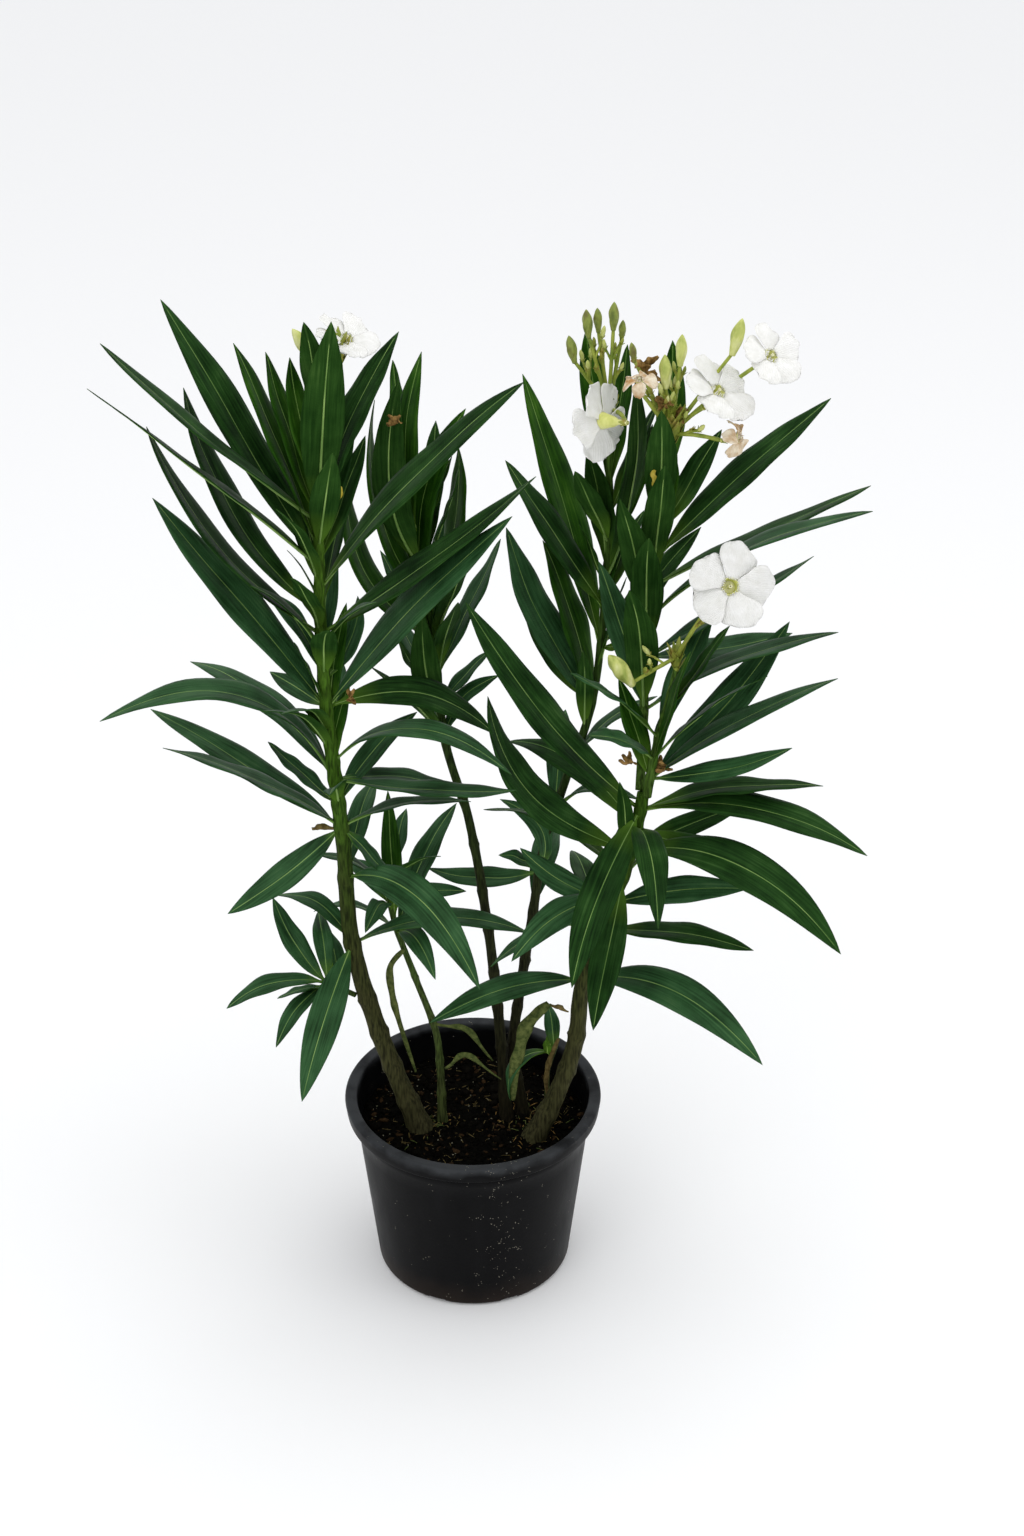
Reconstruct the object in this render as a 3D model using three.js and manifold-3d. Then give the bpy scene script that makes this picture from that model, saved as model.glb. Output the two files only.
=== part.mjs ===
// A white oleander in its nursery pot, in millimetres, +Z up.
// Five canes and a sprout rise from one root ball, and one cane forks. They carry narrow leathery leaves
// in whorls of three, and four of the shoots end in heads of white flowers and buds.
// The origin is the centre of the pot's flat underside. +X is to the right, +Y is away from the viewer.

import * as THREE from "three";
import { mergeVertices } from "three/addons/utils/BufferGeometryUtils.js";
import Module from "manifold-3d";

const wasm = await Module();
wasm.setup();

// Pot, a common 19 cm size that holds three litres
const POT_HEIGHT = 146;
const RIM_RADIUS = 95;
const BODY_TOP_RADIUS = 87.5;
const RIM_DEPTH = 12;
const RIM_ROUNDING = 2.5;
const RIM_TUCK = 1;
const BASE_RADIUS = 72;
const BASE_ROUNDING = 5;
const WALL = 1.8;
const FLOOR = 2.6;
const POT_SEGMENTS = 40;
const DRAIN_COUNT = 8;
const DRAIN_WIDTH = 13;
const DRAIN_HEIGHT = 3.6;
const DRAIN_LENGTH = 18;

// Soil
const SOIL_LEVEL = 121;
const SOIL_EDGE_DROP = 2;
const SOIL_FLAT_RADIUS = 72;

// Clearance between pieces that touch on the real plant
const GAP = 0.3;

// Facets left by fusing that are finer than this are merged, and points nearer than a weld are one
const SMALLEST_DETAIL = 0.2;
const WELD = 1e-4;

// Canes
const CANE_SIDES = 8;
const RING_STEP = 32;
const FLARE = 0.45;
const FLARE_HEIGHT = 14;

// Leaves
const WHORL = 3;
const LEAF_STATIONS = [0, 0.22, 0.5, 0.78];
const LEAF_RATIO = 0.15;
const LEAF_EXTRA_WIDTH = 6.5;
const LEAF_WIDEST = 33;
const LEAF_NARROWEST = 12;
const LEAF_THICKNESS = 2.3;
const PETIOLE_SHARE = 0.05;
const PETIOLE_HALF_WIDTH = 1.7;

// The room that a leaf takes: samples along and across it, in cells of this size
const CELL = 3;
const SAMPLES_ALONG = 48;
const SAMPLES_ACROSS = 8;
const CROWDED_SHARE = 0.22;
const SIDESTEPS = [0, 2, -2, 4, -4, 7, -7, 11, -11, 16, -16, 23, -23, 31, -31];
const CROWN = { left: -252, right: 302, front: -165, back: 175, low: 128, top: 785 };

// How far a grown leaf may differ from its cane's rule: degrees, a share, millimetres, degrees
const VARY_TURN = 8;
const VARY_REACH = 0.12;
const VARY_RISE = 9;
const VARY_BOW = 3;
const VARY_ROLL = 28;

// No leaf grows nearer than this many degrees to a marked one of its whorl
const CLOSEST_TURN = 45;

// Flowers: lengths here are shares of the flower's size, apart from the radii and the thickness
const PETALS = 5;
const PETAL_THICKNESS = 1.4;
const PETAL_STATIONS = [0, 0.6, 1];
const PETAL_HALF_WIDTH = 0.44;
const PETAL_TWIST_DEGREES = 12;
const PETAL_RISE = 0.16;
const PETAL_BOW = 0.12;
const PETAL_FOOT = 0.06;
const TUBE_LENGTH = 0.75;
const TUBE_MOUTH = 0.2;
const TUBE_FOOT_RADIUS = 1.6;
const TUBE_SIDES = 6;
const TUBE_OVERLAP = 0.05;

// Buds: shares of the bud's size, along its axis and out from it
const BUD_FOOT = [-0.5, 0.09];
const BUD_WIDEST = [0.12, 0.16];
const BUD_TIP = 0.5;
const BUD_SIDES = 5;
const BUD_OVERLAP = 0.05;
const BUD_UPRIGHT = 1.5;

// Stalks of a head, in millimetres
const FORK_HEIGHT = 12;
const FORK_RADIUS = 1.8;
const FORK_SIDES = 6;
const STALK_FOOT_RADIUS = 1.6;
const STALK_RADIUS = 1.4;
const STALK_SIDES = 4;
const STALK_STEPS = 3;
const STALK_ROOT = 3;
const STALK_SWING = 4;
const STALK_LIFT = 3;

// Each cane runs through its points, from the soil up, and leafs out above the height called leafy.
// A mark is one leaf that shows: its whorl, its direction seen from above (0 right, 90 away,
// 180 left, 270 towards the viewer), how far it reaches and rises, its bow and its roll.
// The whorl's other leaves grow by rule, between the cane's low and high reach, rise and bow.
const CANES = [
  {
    name: "left",
    points: [
      [-40, -10, 121],
      [-66, -12, 202],
      [-85, -16, 290],
      [-89, -21, 380],
      [-97, -27, 497],
      [-98, -30, 600],
      [-93, -29, 680],
      [-81, -22, 738],
    ],
    radii: [7.2, 2.4],
    leafy: 281,
    whorls: [
      290, 348, 392, 410, 432, 446, 462, 490, 512, 531,
      548, 562, 582, 600, 612, 632, 652, 672, 692, 710,
    ],
    turn: 20,
    low: [78, 36, 14],
    high: [20, 96, -2],
    marks: [
      [13, 167, 98, 177, -1, -16],
      [15, 198, 135, 144, -4, 0],
      [13, 197, 143, 144, 1, 4],
      [7, 180, 108, 157, 2, -28],
      [15, 305, 27, 149, 3, -14],
      [7, 356, 126, 148, 5, 26],
      [1, 314, 137, -27, 34, 40],
      [12, 2, 135, 146, 7, 12],
      [10, 7, 143, 112, -4, 10],
      [0, 251, 101, -69, 7, -20],
      [11, 192, 72, 181, -9, -24],
      [7, 21, 121, -46, 22, 30],
      [2, 160, 142, 66, 1, 0],
      [4, 137, 146, 37, 18, 10],
      [15, 40, 69, 114, 10, 0],
      [14, 165, 52, 139, 1, 0],
      [2, 195, 83, -59, -4, -38],
      [4, 186, 157, 55, 46, 2],
      [5, 332, 139, 29, 30, 2],
      [6, 15, 101, 80, -6, 0],
      [2, 200, 122, 88, 6, -4],
      [15, 150, 36, 111, -2, 6],
      [0, 14, 129, -7, 17, -4],
      [11, 194, 84, 158, -17, -6],
      [10, 197, 106, 159, -15, -4],
      [7, 135, 58, 5, 1, -25],
      [4, 345, 129, 11, -4, -10],
      [4, 25, 94, -33, 6, 2],
      [0, 148, 65, 18, 15, -12],
      [8, 35, 33, 51, -10, 8],
      [3, 150, 57, 34, -1, 4],
      [2, 350, 92, 30, 8, -8],
      [2, 335, 43, -37, 1, 0],
    ],
  },
  {
    name: "top",
    points: [
      [117, -27.5, 425.3],
      [119, -12, 470],
      [120, 2, 506],
      [123, 10, 552],
      [128, 10, 613],
      [133, 6, 668],
    ],
    radii: [3.3, 2.2],
    leafy: 468,
    whorls: [478, 512, 540, 564, 584, 603, 621, 638, 652],
    turn: 15,
    low: [44, 104, 6],
    high: [18, 96, -2],
    marks: [
      [4, 11, 116, 107, 4, 12],
      [3, 28, 174, 35, 1, -24],
      [2, 348, 146, 95, 14, -8],
      [1, 30, 122, -14, -3, 8],
      [5, 25, 45, 67, -1, 25],
      [1, 335, 112, 95, -1, 8],
      [0, 9, 134, 49, 10, -14],
      [5, 60, 15, 62, -3, 0],
    ],
  },
  {
    name: "front",
    points: [
      [121.5, -36, 425.3],
      [126, -37, 460],
      [134, -34, 498],
      [139, -31, 522],
    ],
    radii: [3.3, 2.0],
    leafy: 425.3,
    whorls: [440, 456, 472, 488, 504],
    turn: 60,
    low: [100, 50, 10],
    high: [26, 90, -3],
    marks: [
      [0, 28, 118, 85, -8, 16],
      [0, 354, 29, 108, 1, 48],
      [0, 9, 128, 67, 7, -2],
      [0, 338, 99, 46, -5, 12],
      [0, 170, 23, 76, 0, -44],
    ],
  },
  {
    name: "right",
    points: [
      [46, -22, 121],
      [63, -20, 162],
      [75, -20, 205],
      [79, -22, 254],
      [91, -26, 308],
      [108, -30, 361],
      [117, -32, 408],
      [119, -32, 425],
    ],
    radii: [6.8, 4.2],
    leafy: 250,
    whorls: [262, 308, 332, 356, 378, 396, 412],
    turn: 40,
    low: [92, 5, 14],
    high: [120, 30, 18],
    marks: [
      [4, 329, 163, -30, 31, 26],
      [6, 241, 99, -89, 11, -22],
      [6, 180, 119, 161, -11, -24],
      [0, 323, 153, -7, 28, 22],
      [4, 186, 99, 122, -25, -36],
      [3, 256, 91, -69, -5, -10],
      [6, 343, 159, -8, 19, 6],
      [6, 168, 121, 161, 11, 0],
      [0, 201, 117, -7, 12, -14],
      [2, 350, 96, 23, 4, 32],
      [4, 20, 86, 19, 2, 25],
      [6, 354, 124, 27, 9, 0],
      [5, 15, 90, -16, -4, 24],
      [1, 335, 116, 16, 6, 0],
      [2, 180, 64, 46, -5, -48],
    ],
  },
  {
    name: "centre",
    points: [
      [37, 7, 121],
      [30, 15, 176],
      [34, 21, 216],
      [44, 28, 285],
      [51, 33, 335],
      [66, 37, 390],
      [84, 40, 450],
      [92, 41, 520],
      [95, 40, 600],
      [93, 36, 672],
    ],
    radii: [4.0, 2.1],
    leafy: 280,
    whorls: [288, 320, 368, 412, 455, 500, 530, 556, 580, 602, 622, 640, 654],
    turn: 70,
    low: [80, 24, 14],
    high: [18, 100, -2],
    marks: [
      [5, 148, 64, 190, 4, -8],
      [4, 185, 60, 140, -5, -44],
      [6, 178, 70, 120, 0, -42],
      [5, 340, 69, 86, 0, 25],
      [4, 175, 35, 126, 4, -32],
      [7, 298, 27, 156, -12, 28],
      [7, 215, 18, 100, 4, 18],
      [1, 172, 84, -11, -7, -25],
      [4, 150, 56, 67, -4, -18],
      [8, 20, 30, 84, -5, 12],
      [5, 320, 34, 26, -4, 25],
      [1, 160, 30, 55, 19, -44],
      [2, 200, 43, -31, -2, -12],
      [1, 195, 30, 19, 4, -25],
    ],
  },
  {
    name: "middle",
    points: [
      [25, 0, 121],
      [19, 10, 209],
      [12, 20, 276],
      [-2, 31, 365],
      [-18, 40, 423],
      [-25, 47, 500],
      [-33, 50, 563],
      [-46, 50, 640],
    ],
    radii: [4.2, 2.0],
    leafy: 414,
    whorls: [424, 450, 476, 502, 528, 556, 582, 604, 622],
    turn: 30,
    low: [64, 84, 4],
    high: [18, 98, -2],
    marks: [
      [4, 21, 28, 144, 19, 22],
      [4, 185, 34, 156, -16, -28],
      [3, 191, 56, 143, -22, -28],
      [6, 61, 10, 131, 19, -12],
      [5, 201, 21, 148, -22, 16],
      [1, 280, 30, 92, -12, 26],
      [4, 25, 23, 116, -9, 2],
      [1, 200, 30, 60, -1, 25],
      [0, 10, 39, 50, 11, 18],
      [1, 30, 40, 35, 3, 0],
    ],
  },
  {
    name: "inner",
    points: [
      [-23, -4, 121],
      [-24, -2, 167],
      [-27, 1, 200],
      [-42, 10, 243],
      [-56, 17, 285],
      [-62, 22, 322],
    ],
    radii: [3.0, 1.9],
    leafy: 268,
    whorls: [278, 298, 314],
    turn: 80,
    low: [60, 5, 14],
    high: [48, 40, 4],
    marks: [
      [0, 56, 76, 71, 11, -10],
    ],
  },
  {
    name: "tuft",
    points: [
      [-84.4, -15, 244],
      [-94, -19, 252],
      [-106, -24, 262],
    ],
    radii: [2.0, 1.4],
    leafy: 244,
    whorls: [252, 260],
    turn: 90,
    low: [50, 20, 6],
    high: [40, 40, 2],
    marks: [
      [1, 150, 44, 59, -7, -26],
      [1, 185, 73, -18, 12, -8],
      [1, 100, 44, 33, 16, 6],
      [1, 235, 60, -21, 10, 6],
    ],
  },
  {
    name: "sprout",
    points: [
      [57, -3, 121],
      [55, -6, 165],
      [62, -8, 196],
    ],
    radii: [2.2, 1.3],
    leafy: 182,
    whorls: [188],
    turn: 100,
    low: [30, 24, 6],
    high: [30, 24, 6],
    marks: [
      [0, 212, 38, -30, 22, 0],
      [0, 100, 28, 24, 6, 0],
    ],
  },
];

// Flower heads: each stands on its cane's tip, and a bloom or bud is named by where it opens
const HEADS = [
  {
    name: "blossom_left",
    cane: "left",
    flowers: [{ at: [-76, -16, 754], facing: [0.4, -0.15, 0.9], size: 23 }],
    buds: [{ at: [-103, -22, 752], size: 26 }],
  },
  {
    name: "blossom_centre",
    cane: "centre",
    flowers: [{ at: [88, 8, 686], facing: [-0.76, 0.6, -0.2], size: 28 }],
    buds: [
      { at: [68, 30, 727], size: 20 },
      { at: [78, 30, 745], size: 20 },
      { at: [85, 38, 744], size: 17 },
      { at: [95, 28, 751], size: 20 },
      { at: [101, 36, 738], size: 14 },
    ],
  },
  {
    name: "blossom_top",
    cane: "top",
    flowers: [
      { at: [162, -6, 713], facing: [0.45, -0.4, 0.8], size: 26 },
      { at: [176, -14, 684], facing: [0.85, -0.3, 0.3], size: 17 },
      { at: [196, 5, 733], facing: [0.5, -0.55, 0.65], size: 23 },
      { at: [111, -8, 722], facing: [-0.1, -0.3, 0.95], size: 15 },
    ],
    buds: [
      { at: [174, 8, 745], size: 26 },
      { at: [138, 5, 737], size: 22 },
      { at: [128, 3, 723], size: 24 },
      { at: [107, 6, 735], size: 14 },
    ],
  },
  {
    name: "blossom_front",
    cane: "front",
    flowers: [{ at: [172, -42, 590], facing: [0.12, -0.85, 0.5], size: 29 }],
    buds: [{ at: [101, -50, 532], size: 33 }],
  },
];

const right = new THREE.Vector3(1, 0, 0);
const away = new THREE.Vector3(0, 1, 0);
const up = new THREE.Vector3(0, 0, 1);
const mix = (a, b, share) => a + (b - a) * share;
const vector = (list) => new THREE.Vector3(...list);

// Small repeatable differences between -1 and 1, from a seed
function dice(seed) {
  let state = seed;
  return () => {
    state = (state * 16807) % 2147483647;
    return (2 * state) / 2147483647 - 1;
  };
}

// Points round an axis, all at one distance from it
function ringRound(centre, u, v, radius, sides) {
  return Array.from({ length: sides }, (_, k) => {
    const angle = (2 * Math.PI * k) / sides;
    return centre
      .clone()
      .addScaledVector(u, radius * Math.cos(angle))
      .addScaledVector(v, radius * Math.sin(angle));
  });
}

// Two directions across an axis, the first of them level with the viewer
function acrossFrom(axis) {
  const u = new THREE.Vector3().crossVectors(away, axis).normalize();
  return [u, new THREE.Vector3().crossVectors(axis, u)];
}

// A closed solid through rings of points, all with the same count. The last may be a single tip.
function loft(rings) {
  const count = rings[0].length;
  const index = [];
  const start = (ring) => ring * count;
  rings.slice(1).forEach((ring, i) => {
    for (let k = 0; k < count; k++) {
      const next = (k + 1) % count;
      const [a, b] = [start(i) + k, start(i) + next];
      if (ring.length === 1) {
        index.push(a, b, start(i + 1));
      } else {
        index.push(a, b, start(i + 1) + next, a, start(i + 1) + next, start(i + 1) + k);
      }
    }
  });
  const last = rings.length - 1;
  for (let k = 1; k < count - 1; k++) {
    index.push(0, k + 1, k);
    if (rings[last].length > 1) index.push(start(last), start(last) + k, start(last) + k + 1);
  }
  const points = rings.flat().flatMap((p) => [p.x, p.y, p.z]);
  const geometry = new THREE.BufferGeometry();
  geometry.setAttribute("position", new THREE.Float32BufferAttribute(points, 3));
  geometry.setIndex(index);
  return geometry;
}

function toSolid(geometry) {
  const bare = geometry.clone();
  bare.deleteAttribute("normal");
  bare.deleteAttribute("uv");
  const merged = mergeVertices(bare, WELD);
  return new wasm.Manifold(
    new wasm.Mesh({
      numProp: 3,
      vertProperties: new Float32Array(merged.attributes.position.array),
      triVerts: new Uint32Array(merged.index.array),
    }),
  );
}

function toGeometry(solid) {
  const mesh = solid.getMesh();
  const geometry = new THREE.BufferGeometry();
  geometry.setAttribute("position", new THREE.BufferAttribute(mesh.vertProperties, 3));
  geometry.setIndex(new THREE.BufferAttribute(mesh.triVerts, 1));
  geometry.computeVertexNormals();
  return geometry;
}

// Canes

// The cane's centre at a height: a smooth curve through its points
function centreAt(cane, z) {
  const p = cane.points;
  const found = p.findIndex((q) => q[2] > z);
  const i = found < 0 ? p.length - 2 : Math.max(found - 1, 0);
  const [a, b] = [p[i], p[i + 1]];
  const before = p[Math.max(i - 1, 0)];
  const after = p[Math.min(i + 2, p.length - 1)];
  const span = b[2] - a[2];
  const s = (z - a[2]) / span;
  const along = (axis) => {
    const slopeA = ((b[axis] - before[axis]) / (b[2] - before[2])) * span;
    const slopeB = ((after[axis] - a[axis]) / (after[2] - a[2])) * span;
    return (
      (2 * s ** 3 - 3 * s ** 2 + 1) * a[axis] +
      (s ** 3 - 2 * s ** 2 + s) * slopeA +
      (3 * s ** 2 - 2 * s ** 3) * b[axis] +
      (s ** 3 - s ** 2) * slopeB
    );
  };
  return new THREE.Vector3(along(0), along(1), z);
}

// Canes taper to their tips and flare where they enter the soil
function radiusAt(cane, z) {
  const foot = cane.points[0][2];
  const tip = cane.points.at(-1)[2];
  const taper = mix(cane.radii[0], cane.radii[1], (z - foot) / (tip - foot));
  return foot === SOIL_LEVEL ? taper * (1 + FLARE * Math.exp((foot - z) / FLARE_HEIGHT)) : taper;
}

function caneRing(cane, z) {
  return ringRound(centreAt(cane, z), right, away, radiusAt(cane, z), CANE_SIDES);
}

function caneGeometry(cane, bottom, top) {
  const steps = Math.max(2, Math.round((top - bottom) / RING_STEP));
  const heights = Array.from({ length: steps + 1 }, (_, k) => mix(bottom, top, k / steps));
  if (bottom < SOIL_LEVEL + 2 * GAP) heights.splice(1, 0, bottom + FLARE_HEIGHT / 2);
  return loft(heights.map((z) => caneRing(cane, z)));
}

// Leaves

// The half width along a leaf, as a share of its widest: a petiole, a long blade, a sharp tip.
// The powers move its widest place a little past the middle and fill out its sides.
function leafOutline(along) {
  const share = Math.max(0, (along - PETIOLE_SHARE) / (1 - PETIOLE_SHARE));
  return Math.sin(Math.PI * share ** 0.92) ** 0.82;
}

// Petals start at a fifth of their width, are widest past the middle and end blunt
function petalOutline(along) {
  return 0.2 + 0.8 * Math.sin(Math.PI * 0.62 * along ** 0.8);
}

// A blade leaves its foot in one direction and bows over on its way to the tip
function makeBlade(foot, turn, reach, rise, bow, roll) {
  const angle = THREE.MathUtils.degToRad(turn);
  const out = new THREE.Vector3(Math.cos(angle), Math.sin(angle), 0);
  const chord = out.clone().multiplyScalar(reach).addScaledVector(up, rise);
  const length = chord.length();
  const lift = out.clone().multiplyScalar(-rise / length).addScaledVector(up, reach / length);
  const middle = foot.clone().addScaledVector(chord, 0.5).addScaledVector(lift, 2 * bow);
  const curve = new THREE.QuadraticBezierCurve3(foot, middle, foot.clone().add(chord));
  const width = THREE.MathUtils.clamp(
    length * LEAF_RATIO + LEAF_EXTRA_WIDTH,
    LEAF_NARROWEST,
    LEAF_WIDEST,
  );
  const side = new THREE.Vector3().crossVectors(up, out);
  return { curve, side, roll: THREE.MathUtils.degToRad(roll), halfWidth: width / 2 };
}

// The centre of a blade at a share of its length, with its sideways and upward directions
function bladeFrame(blade, along) {
  const centre = blade.curve.getPoint(along);
  const tangent = blade.curve.getTangent(along);
  const side = blade.side.clone().addScaledVector(tangent, -blade.side.dot(tangent)).normalize();
  side.applyAxisAngle(tangent, blade.roll);
  const upward = new THREE.Vector3().crossVectors(tangent, side);
  return { centre, side, upward };
}

// A point of a blade, from one edge at -1 to the other at 1
function bladePoint(blade, along, across, outline) {
  const { centre, side } = bladeFrame(blade, along);
  const half = Math.max(blade.halfWidth * outline(along), PETIOLE_HALF_WIDTH);
  return centre.addScaledVector(side, across * half);
}

// Flat above and thickest at its midrib, which stands out below
function bladeGeometry(blade, stations, outline, thickness, pointed) {
  const rings = stations.map((along) => {
    const { centre, upward } = bladeFrame(blade, along);
    return [
      bladePoint(blade, along, 1, outline),
      bladePoint(blade, along, -1, outline),
      centre.addScaledVector(upward, -thickness),
    ];
  });
  if (pointed) rings.push([blade.curve.getPoint(1)]);
  return loft(rings);
}

function tipInCrown(blade) {
  const tip = blade.curve.getPoint(1);
  return (
    tip.x > CROWN.left &&
    tip.x < CROWN.right &&
    tip.y > CROWN.front &&
    tip.y < CROWN.back &&
    tip.z > CROWN.low &&
    tip.z < CROWN.top
  );
}

// Room: which cane's leaves or wood hold each small cell of space, and whether that is near a foot
const room = new Map();
const cellKey = (i, j, k) => `${i},${j},${k}`;
const toCell = (value) => Math.floor(value / CELL + 0.5);

function fillRoom(point, owner, nearFoot) {
  room.set(cellKey(toCell(point.x), toCell(point.y), toCell(point.z)), { owner, nearFoot });
}

// Another cane's growth may not come near a point, and a cane's own leaves may not cross
function isTaken(point, owner, nearFoot) {
  const [x, y, z] = [point.x, point.y, point.z].map(toCell);
  const here = room.get(cellKey(x, y, z));
  if (here && here.owner === owner && !nearFoot && !here.nearFoot) return true;
  for (let i = x - 1; i <= x + 1; i++) {
    for (let j = y - 1; j <= y + 1; j++) {
      for (let k = z - 1; k <= z + 1; k++) {
        const held = room.get(cellKey(i, j, k));
        if (held && held.owner !== owner) return true;
      }
    }
  }
  return false;
}

function bladeSamples(blade) {
  const samples = [];
  for (let i = 0; i <= SAMPLES_ALONG; i++) {
    for (let j = 0; j <= SAMPLES_ACROSS; j++) {
      const along = i / SAMPLES_ALONG;
      const across = (2 * j) / SAMPLES_ACROSS - 1;
      const point = bladePoint(blade, along, across, leafOutline);
      samples.push({ point, nearFoot: along < CROWDED_SHARE });
    }
  }
  return samples;
}

// A leaf turns a little to the nearest free room, and is left out if there is none
function settle(foot, turn, reach, rise, bow, roll, owner) {
  for (const step of SIDESTEPS) {
    const blade = makeBlade(foot, turn + step, reach, rise, bow, roll);
    if (!tipInCrown(blade)) continue;
    const samples = bladeSamples(blade);
    if (samples.some((s) => isTaken(s.point, owner, s.nearFoot))) continue;
    samples.forEach((s) => fillRoom(s.point, owner, s.nearFoot));
    return blade;
  }
  return null;
}

// Holds the room of a cone between two centres
function fillCone(from, to, fromRadius, toRadius, owner) {
  const [u, v] = acrossFrom(to.clone().sub(from).normalize());
  const steps = Math.ceil((2 * Math.max(from.distanceTo(to), Math.abs(toRadius - fromRadius))) / CELL);
  for (let i = 0; i <= steps; i++) {
    const radius = mix(fromRadius, toRadius, i / steps);
    const sides = Math.max(CANE_SIDES, Math.ceil((4 * Math.PI * radius) / CELL));
    const centre = from.clone().lerp(to, i / steps);
    ringRound(centre, u, v, radius, sides).forEach((point) => fillRoom(point, owner, false));
  }
}

// A flower holds the shallow cup of its petals and its tube, a bud its spindle
function reserveHead({ base, fork, footRadius, flowers, buds }, owner) {
  fillCone(base, fork, footRadius, FORK_RADIUS, owner);
  [...flowers, ...buds].forEach(({ stalk }) => {
    const points = stalk.getPoints(SAMPLES_ALONG);
    points.forEach((point) => fillRoom(point, owner, false));
  });
  flowers.forEach(({ centre, facing, size }) => {
    const along = (share) => centre.clone().addScaledVector(facing, share * size);
    fillCone(along(-TUBE_LENGTH), centre, TUBE_FOOT_RADIUS, TUBE_MOUTH * size, owner);
    fillCone(along(-PETAL_FOOT), along(PETAL_RISE - PETAL_FOOT), 0, size, owner);
  });
  buds.forEach(({ centre, facing, size }) => {
    const along = (share) => centre.clone().addScaledVector(facing, share * size);
    const widest = BUD_WIDEST[1] * size;
    fillCone(along(BUD_FOOT[0]), along(BUD_WIDEST[0]), BUD_FOOT[1] * size, widest, owner);
    fillCone(along(BUD_WIDEST[0]), along(BUD_TIP), widest, 0, owner);
  });
}

function reserveWood(cane, owner) {
  const [foot, tip] = [cane.points[0][2], cane.points.at(-1)[2]];
  for (let z = foot; z < tip; z += CELL) {
    caneRing(cane, z).forEach((point) => fillRoom(point, owner, true));
    fillRoom(centreAt(cane, z), owner, true);
  }
}

function markedLeaves(cane, owner) {
  return cane.marks.map(([whorl, turn, reach, rise, bow, roll]) =>
    settle(centreAt(cane, cane.whorls[whorl]), turn, reach, rise, bow, roll, owner),
  );
}

const turnBetween = (a, b) => Math.abs(((a - b + 540) % 360) - 180);

// The leaves of each whorl that no mark names
function grownLeaves(cane, owner) {
  const vary = dice(owner + 11);
  const grown = [];
  cane.whorls.forEach((z, whorl) => {
    const marks = cane.marks.filter((mark) => mark[0] === whorl);
    const first = marks.length ? marks[0][1] : cane.turn + 60 * whorl;
    const share = whorl / (cane.whorls.length - 1);
    for (let leaf = 0; leaf < WHORL; leaf++) {
      const turn = (first + (360 / WHORL) * leaf + VARY_TURN * vary()) % 360;
      const reach = mix(cane.low[0], cane.high[0], share) * (1 + VARY_REACH * vary());
      const rise = mix(cane.low[1], cane.high[1], share) + VARY_RISE * vary();
      const bow = mix(cane.low[2], cane.high[2], share) + VARY_BOW * vary();
      const roll = VARY_ROLL * vary();
      const crowded = marks.some((mark) => turnBetween(mark[1], turn) < CLOSEST_TURN);
      if (marks.length > leaf || crowded) continue;
      grown.push(settle(centreAt(cane, z), turn, reach, rise, bow, roll, owner));
    }
  });
  return grown;
}

// Flowers and buds

// A tapering round twig along a curve, closed by its two ends
function twigGeometry(curve, startRadius, endRadius, sides, steps) {
  const rings = Array.from({ length: steps + 1 }, (_, i) => {
    const share = i / steps;
    const [u, v] = acrossFrom(curve.getTangent(share));
    return ringRound(curve.getPoint(share), u, v, mix(startRadius, endRadius, share), sides);
  });
  return loft(rings);
}

// A closed bud is widest past its middle and runs out to a point
function budGeometry({ centre, facing, size }) {
  const [u, v] = acrossFrom(facing);
  const rings = [BUD_FOOT, BUD_WIDEST].map(([height, radius]) => {
    const middle = centre.clone().addScaledVector(facing, height * size);
    return ringRound(middle, u, v, radius * size, BUD_SIDES);
  });
  return loft([...rings, [centre.clone().addScaledVector(facing, BUD_TIP * size)]]);
}

// An open flower: a funnel, and five petals round its mouth
function flowerGeometries({ centre, facing, size }) {
  const neck = centre.clone().addScaledVector(facing, -TUBE_LENGTH * size);
  const funnel = new THREE.LineCurve3(neck, centre);
  const parts = [twigGeometry(funnel, TUBE_FOOT_RADIUS, TUBE_MOUTH * size, TUBE_SIDES, 1)];
  const u = up.clone().cross(facing).normalize();
  const v = new THREE.Vector3().crossVectors(facing, u);
  for (let k = 0; k < PETALS; k++) {
    const angle = (2 * Math.PI * k) / PETALS;
    const out = u.clone().multiplyScalar(Math.cos(angle)).addScaledVector(v, Math.sin(angle));
    const foot = centre.clone().addScaledVector(facing, -PETAL_FOOT * size);
    const tip = foot.clone().addScaledVector(out, size).addScaledVector(facing, PETAL_RISE * size);
    const middle = foot.clone().lerp(tip, 0.5).addScaledVector(facing, PETAL_BOW * size);
    const petal = {
      curve: new THREE.QuadraticBezierCurve3(foot, middle, tip),
      side: new THREE.Vector3().crossVectors(facing, out),
      roll: THREE.MathUtils.degToRad(PETAL_TWIST_DEGREES),
      halfWidth: PETAL_HALF_WIDTH * size,
    };
    parts.push(bladeGeometry(petal, PETAL_STATIONS, petalOutline, PETAL_THICKNESS, false));
  }
  return parts;
}

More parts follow.
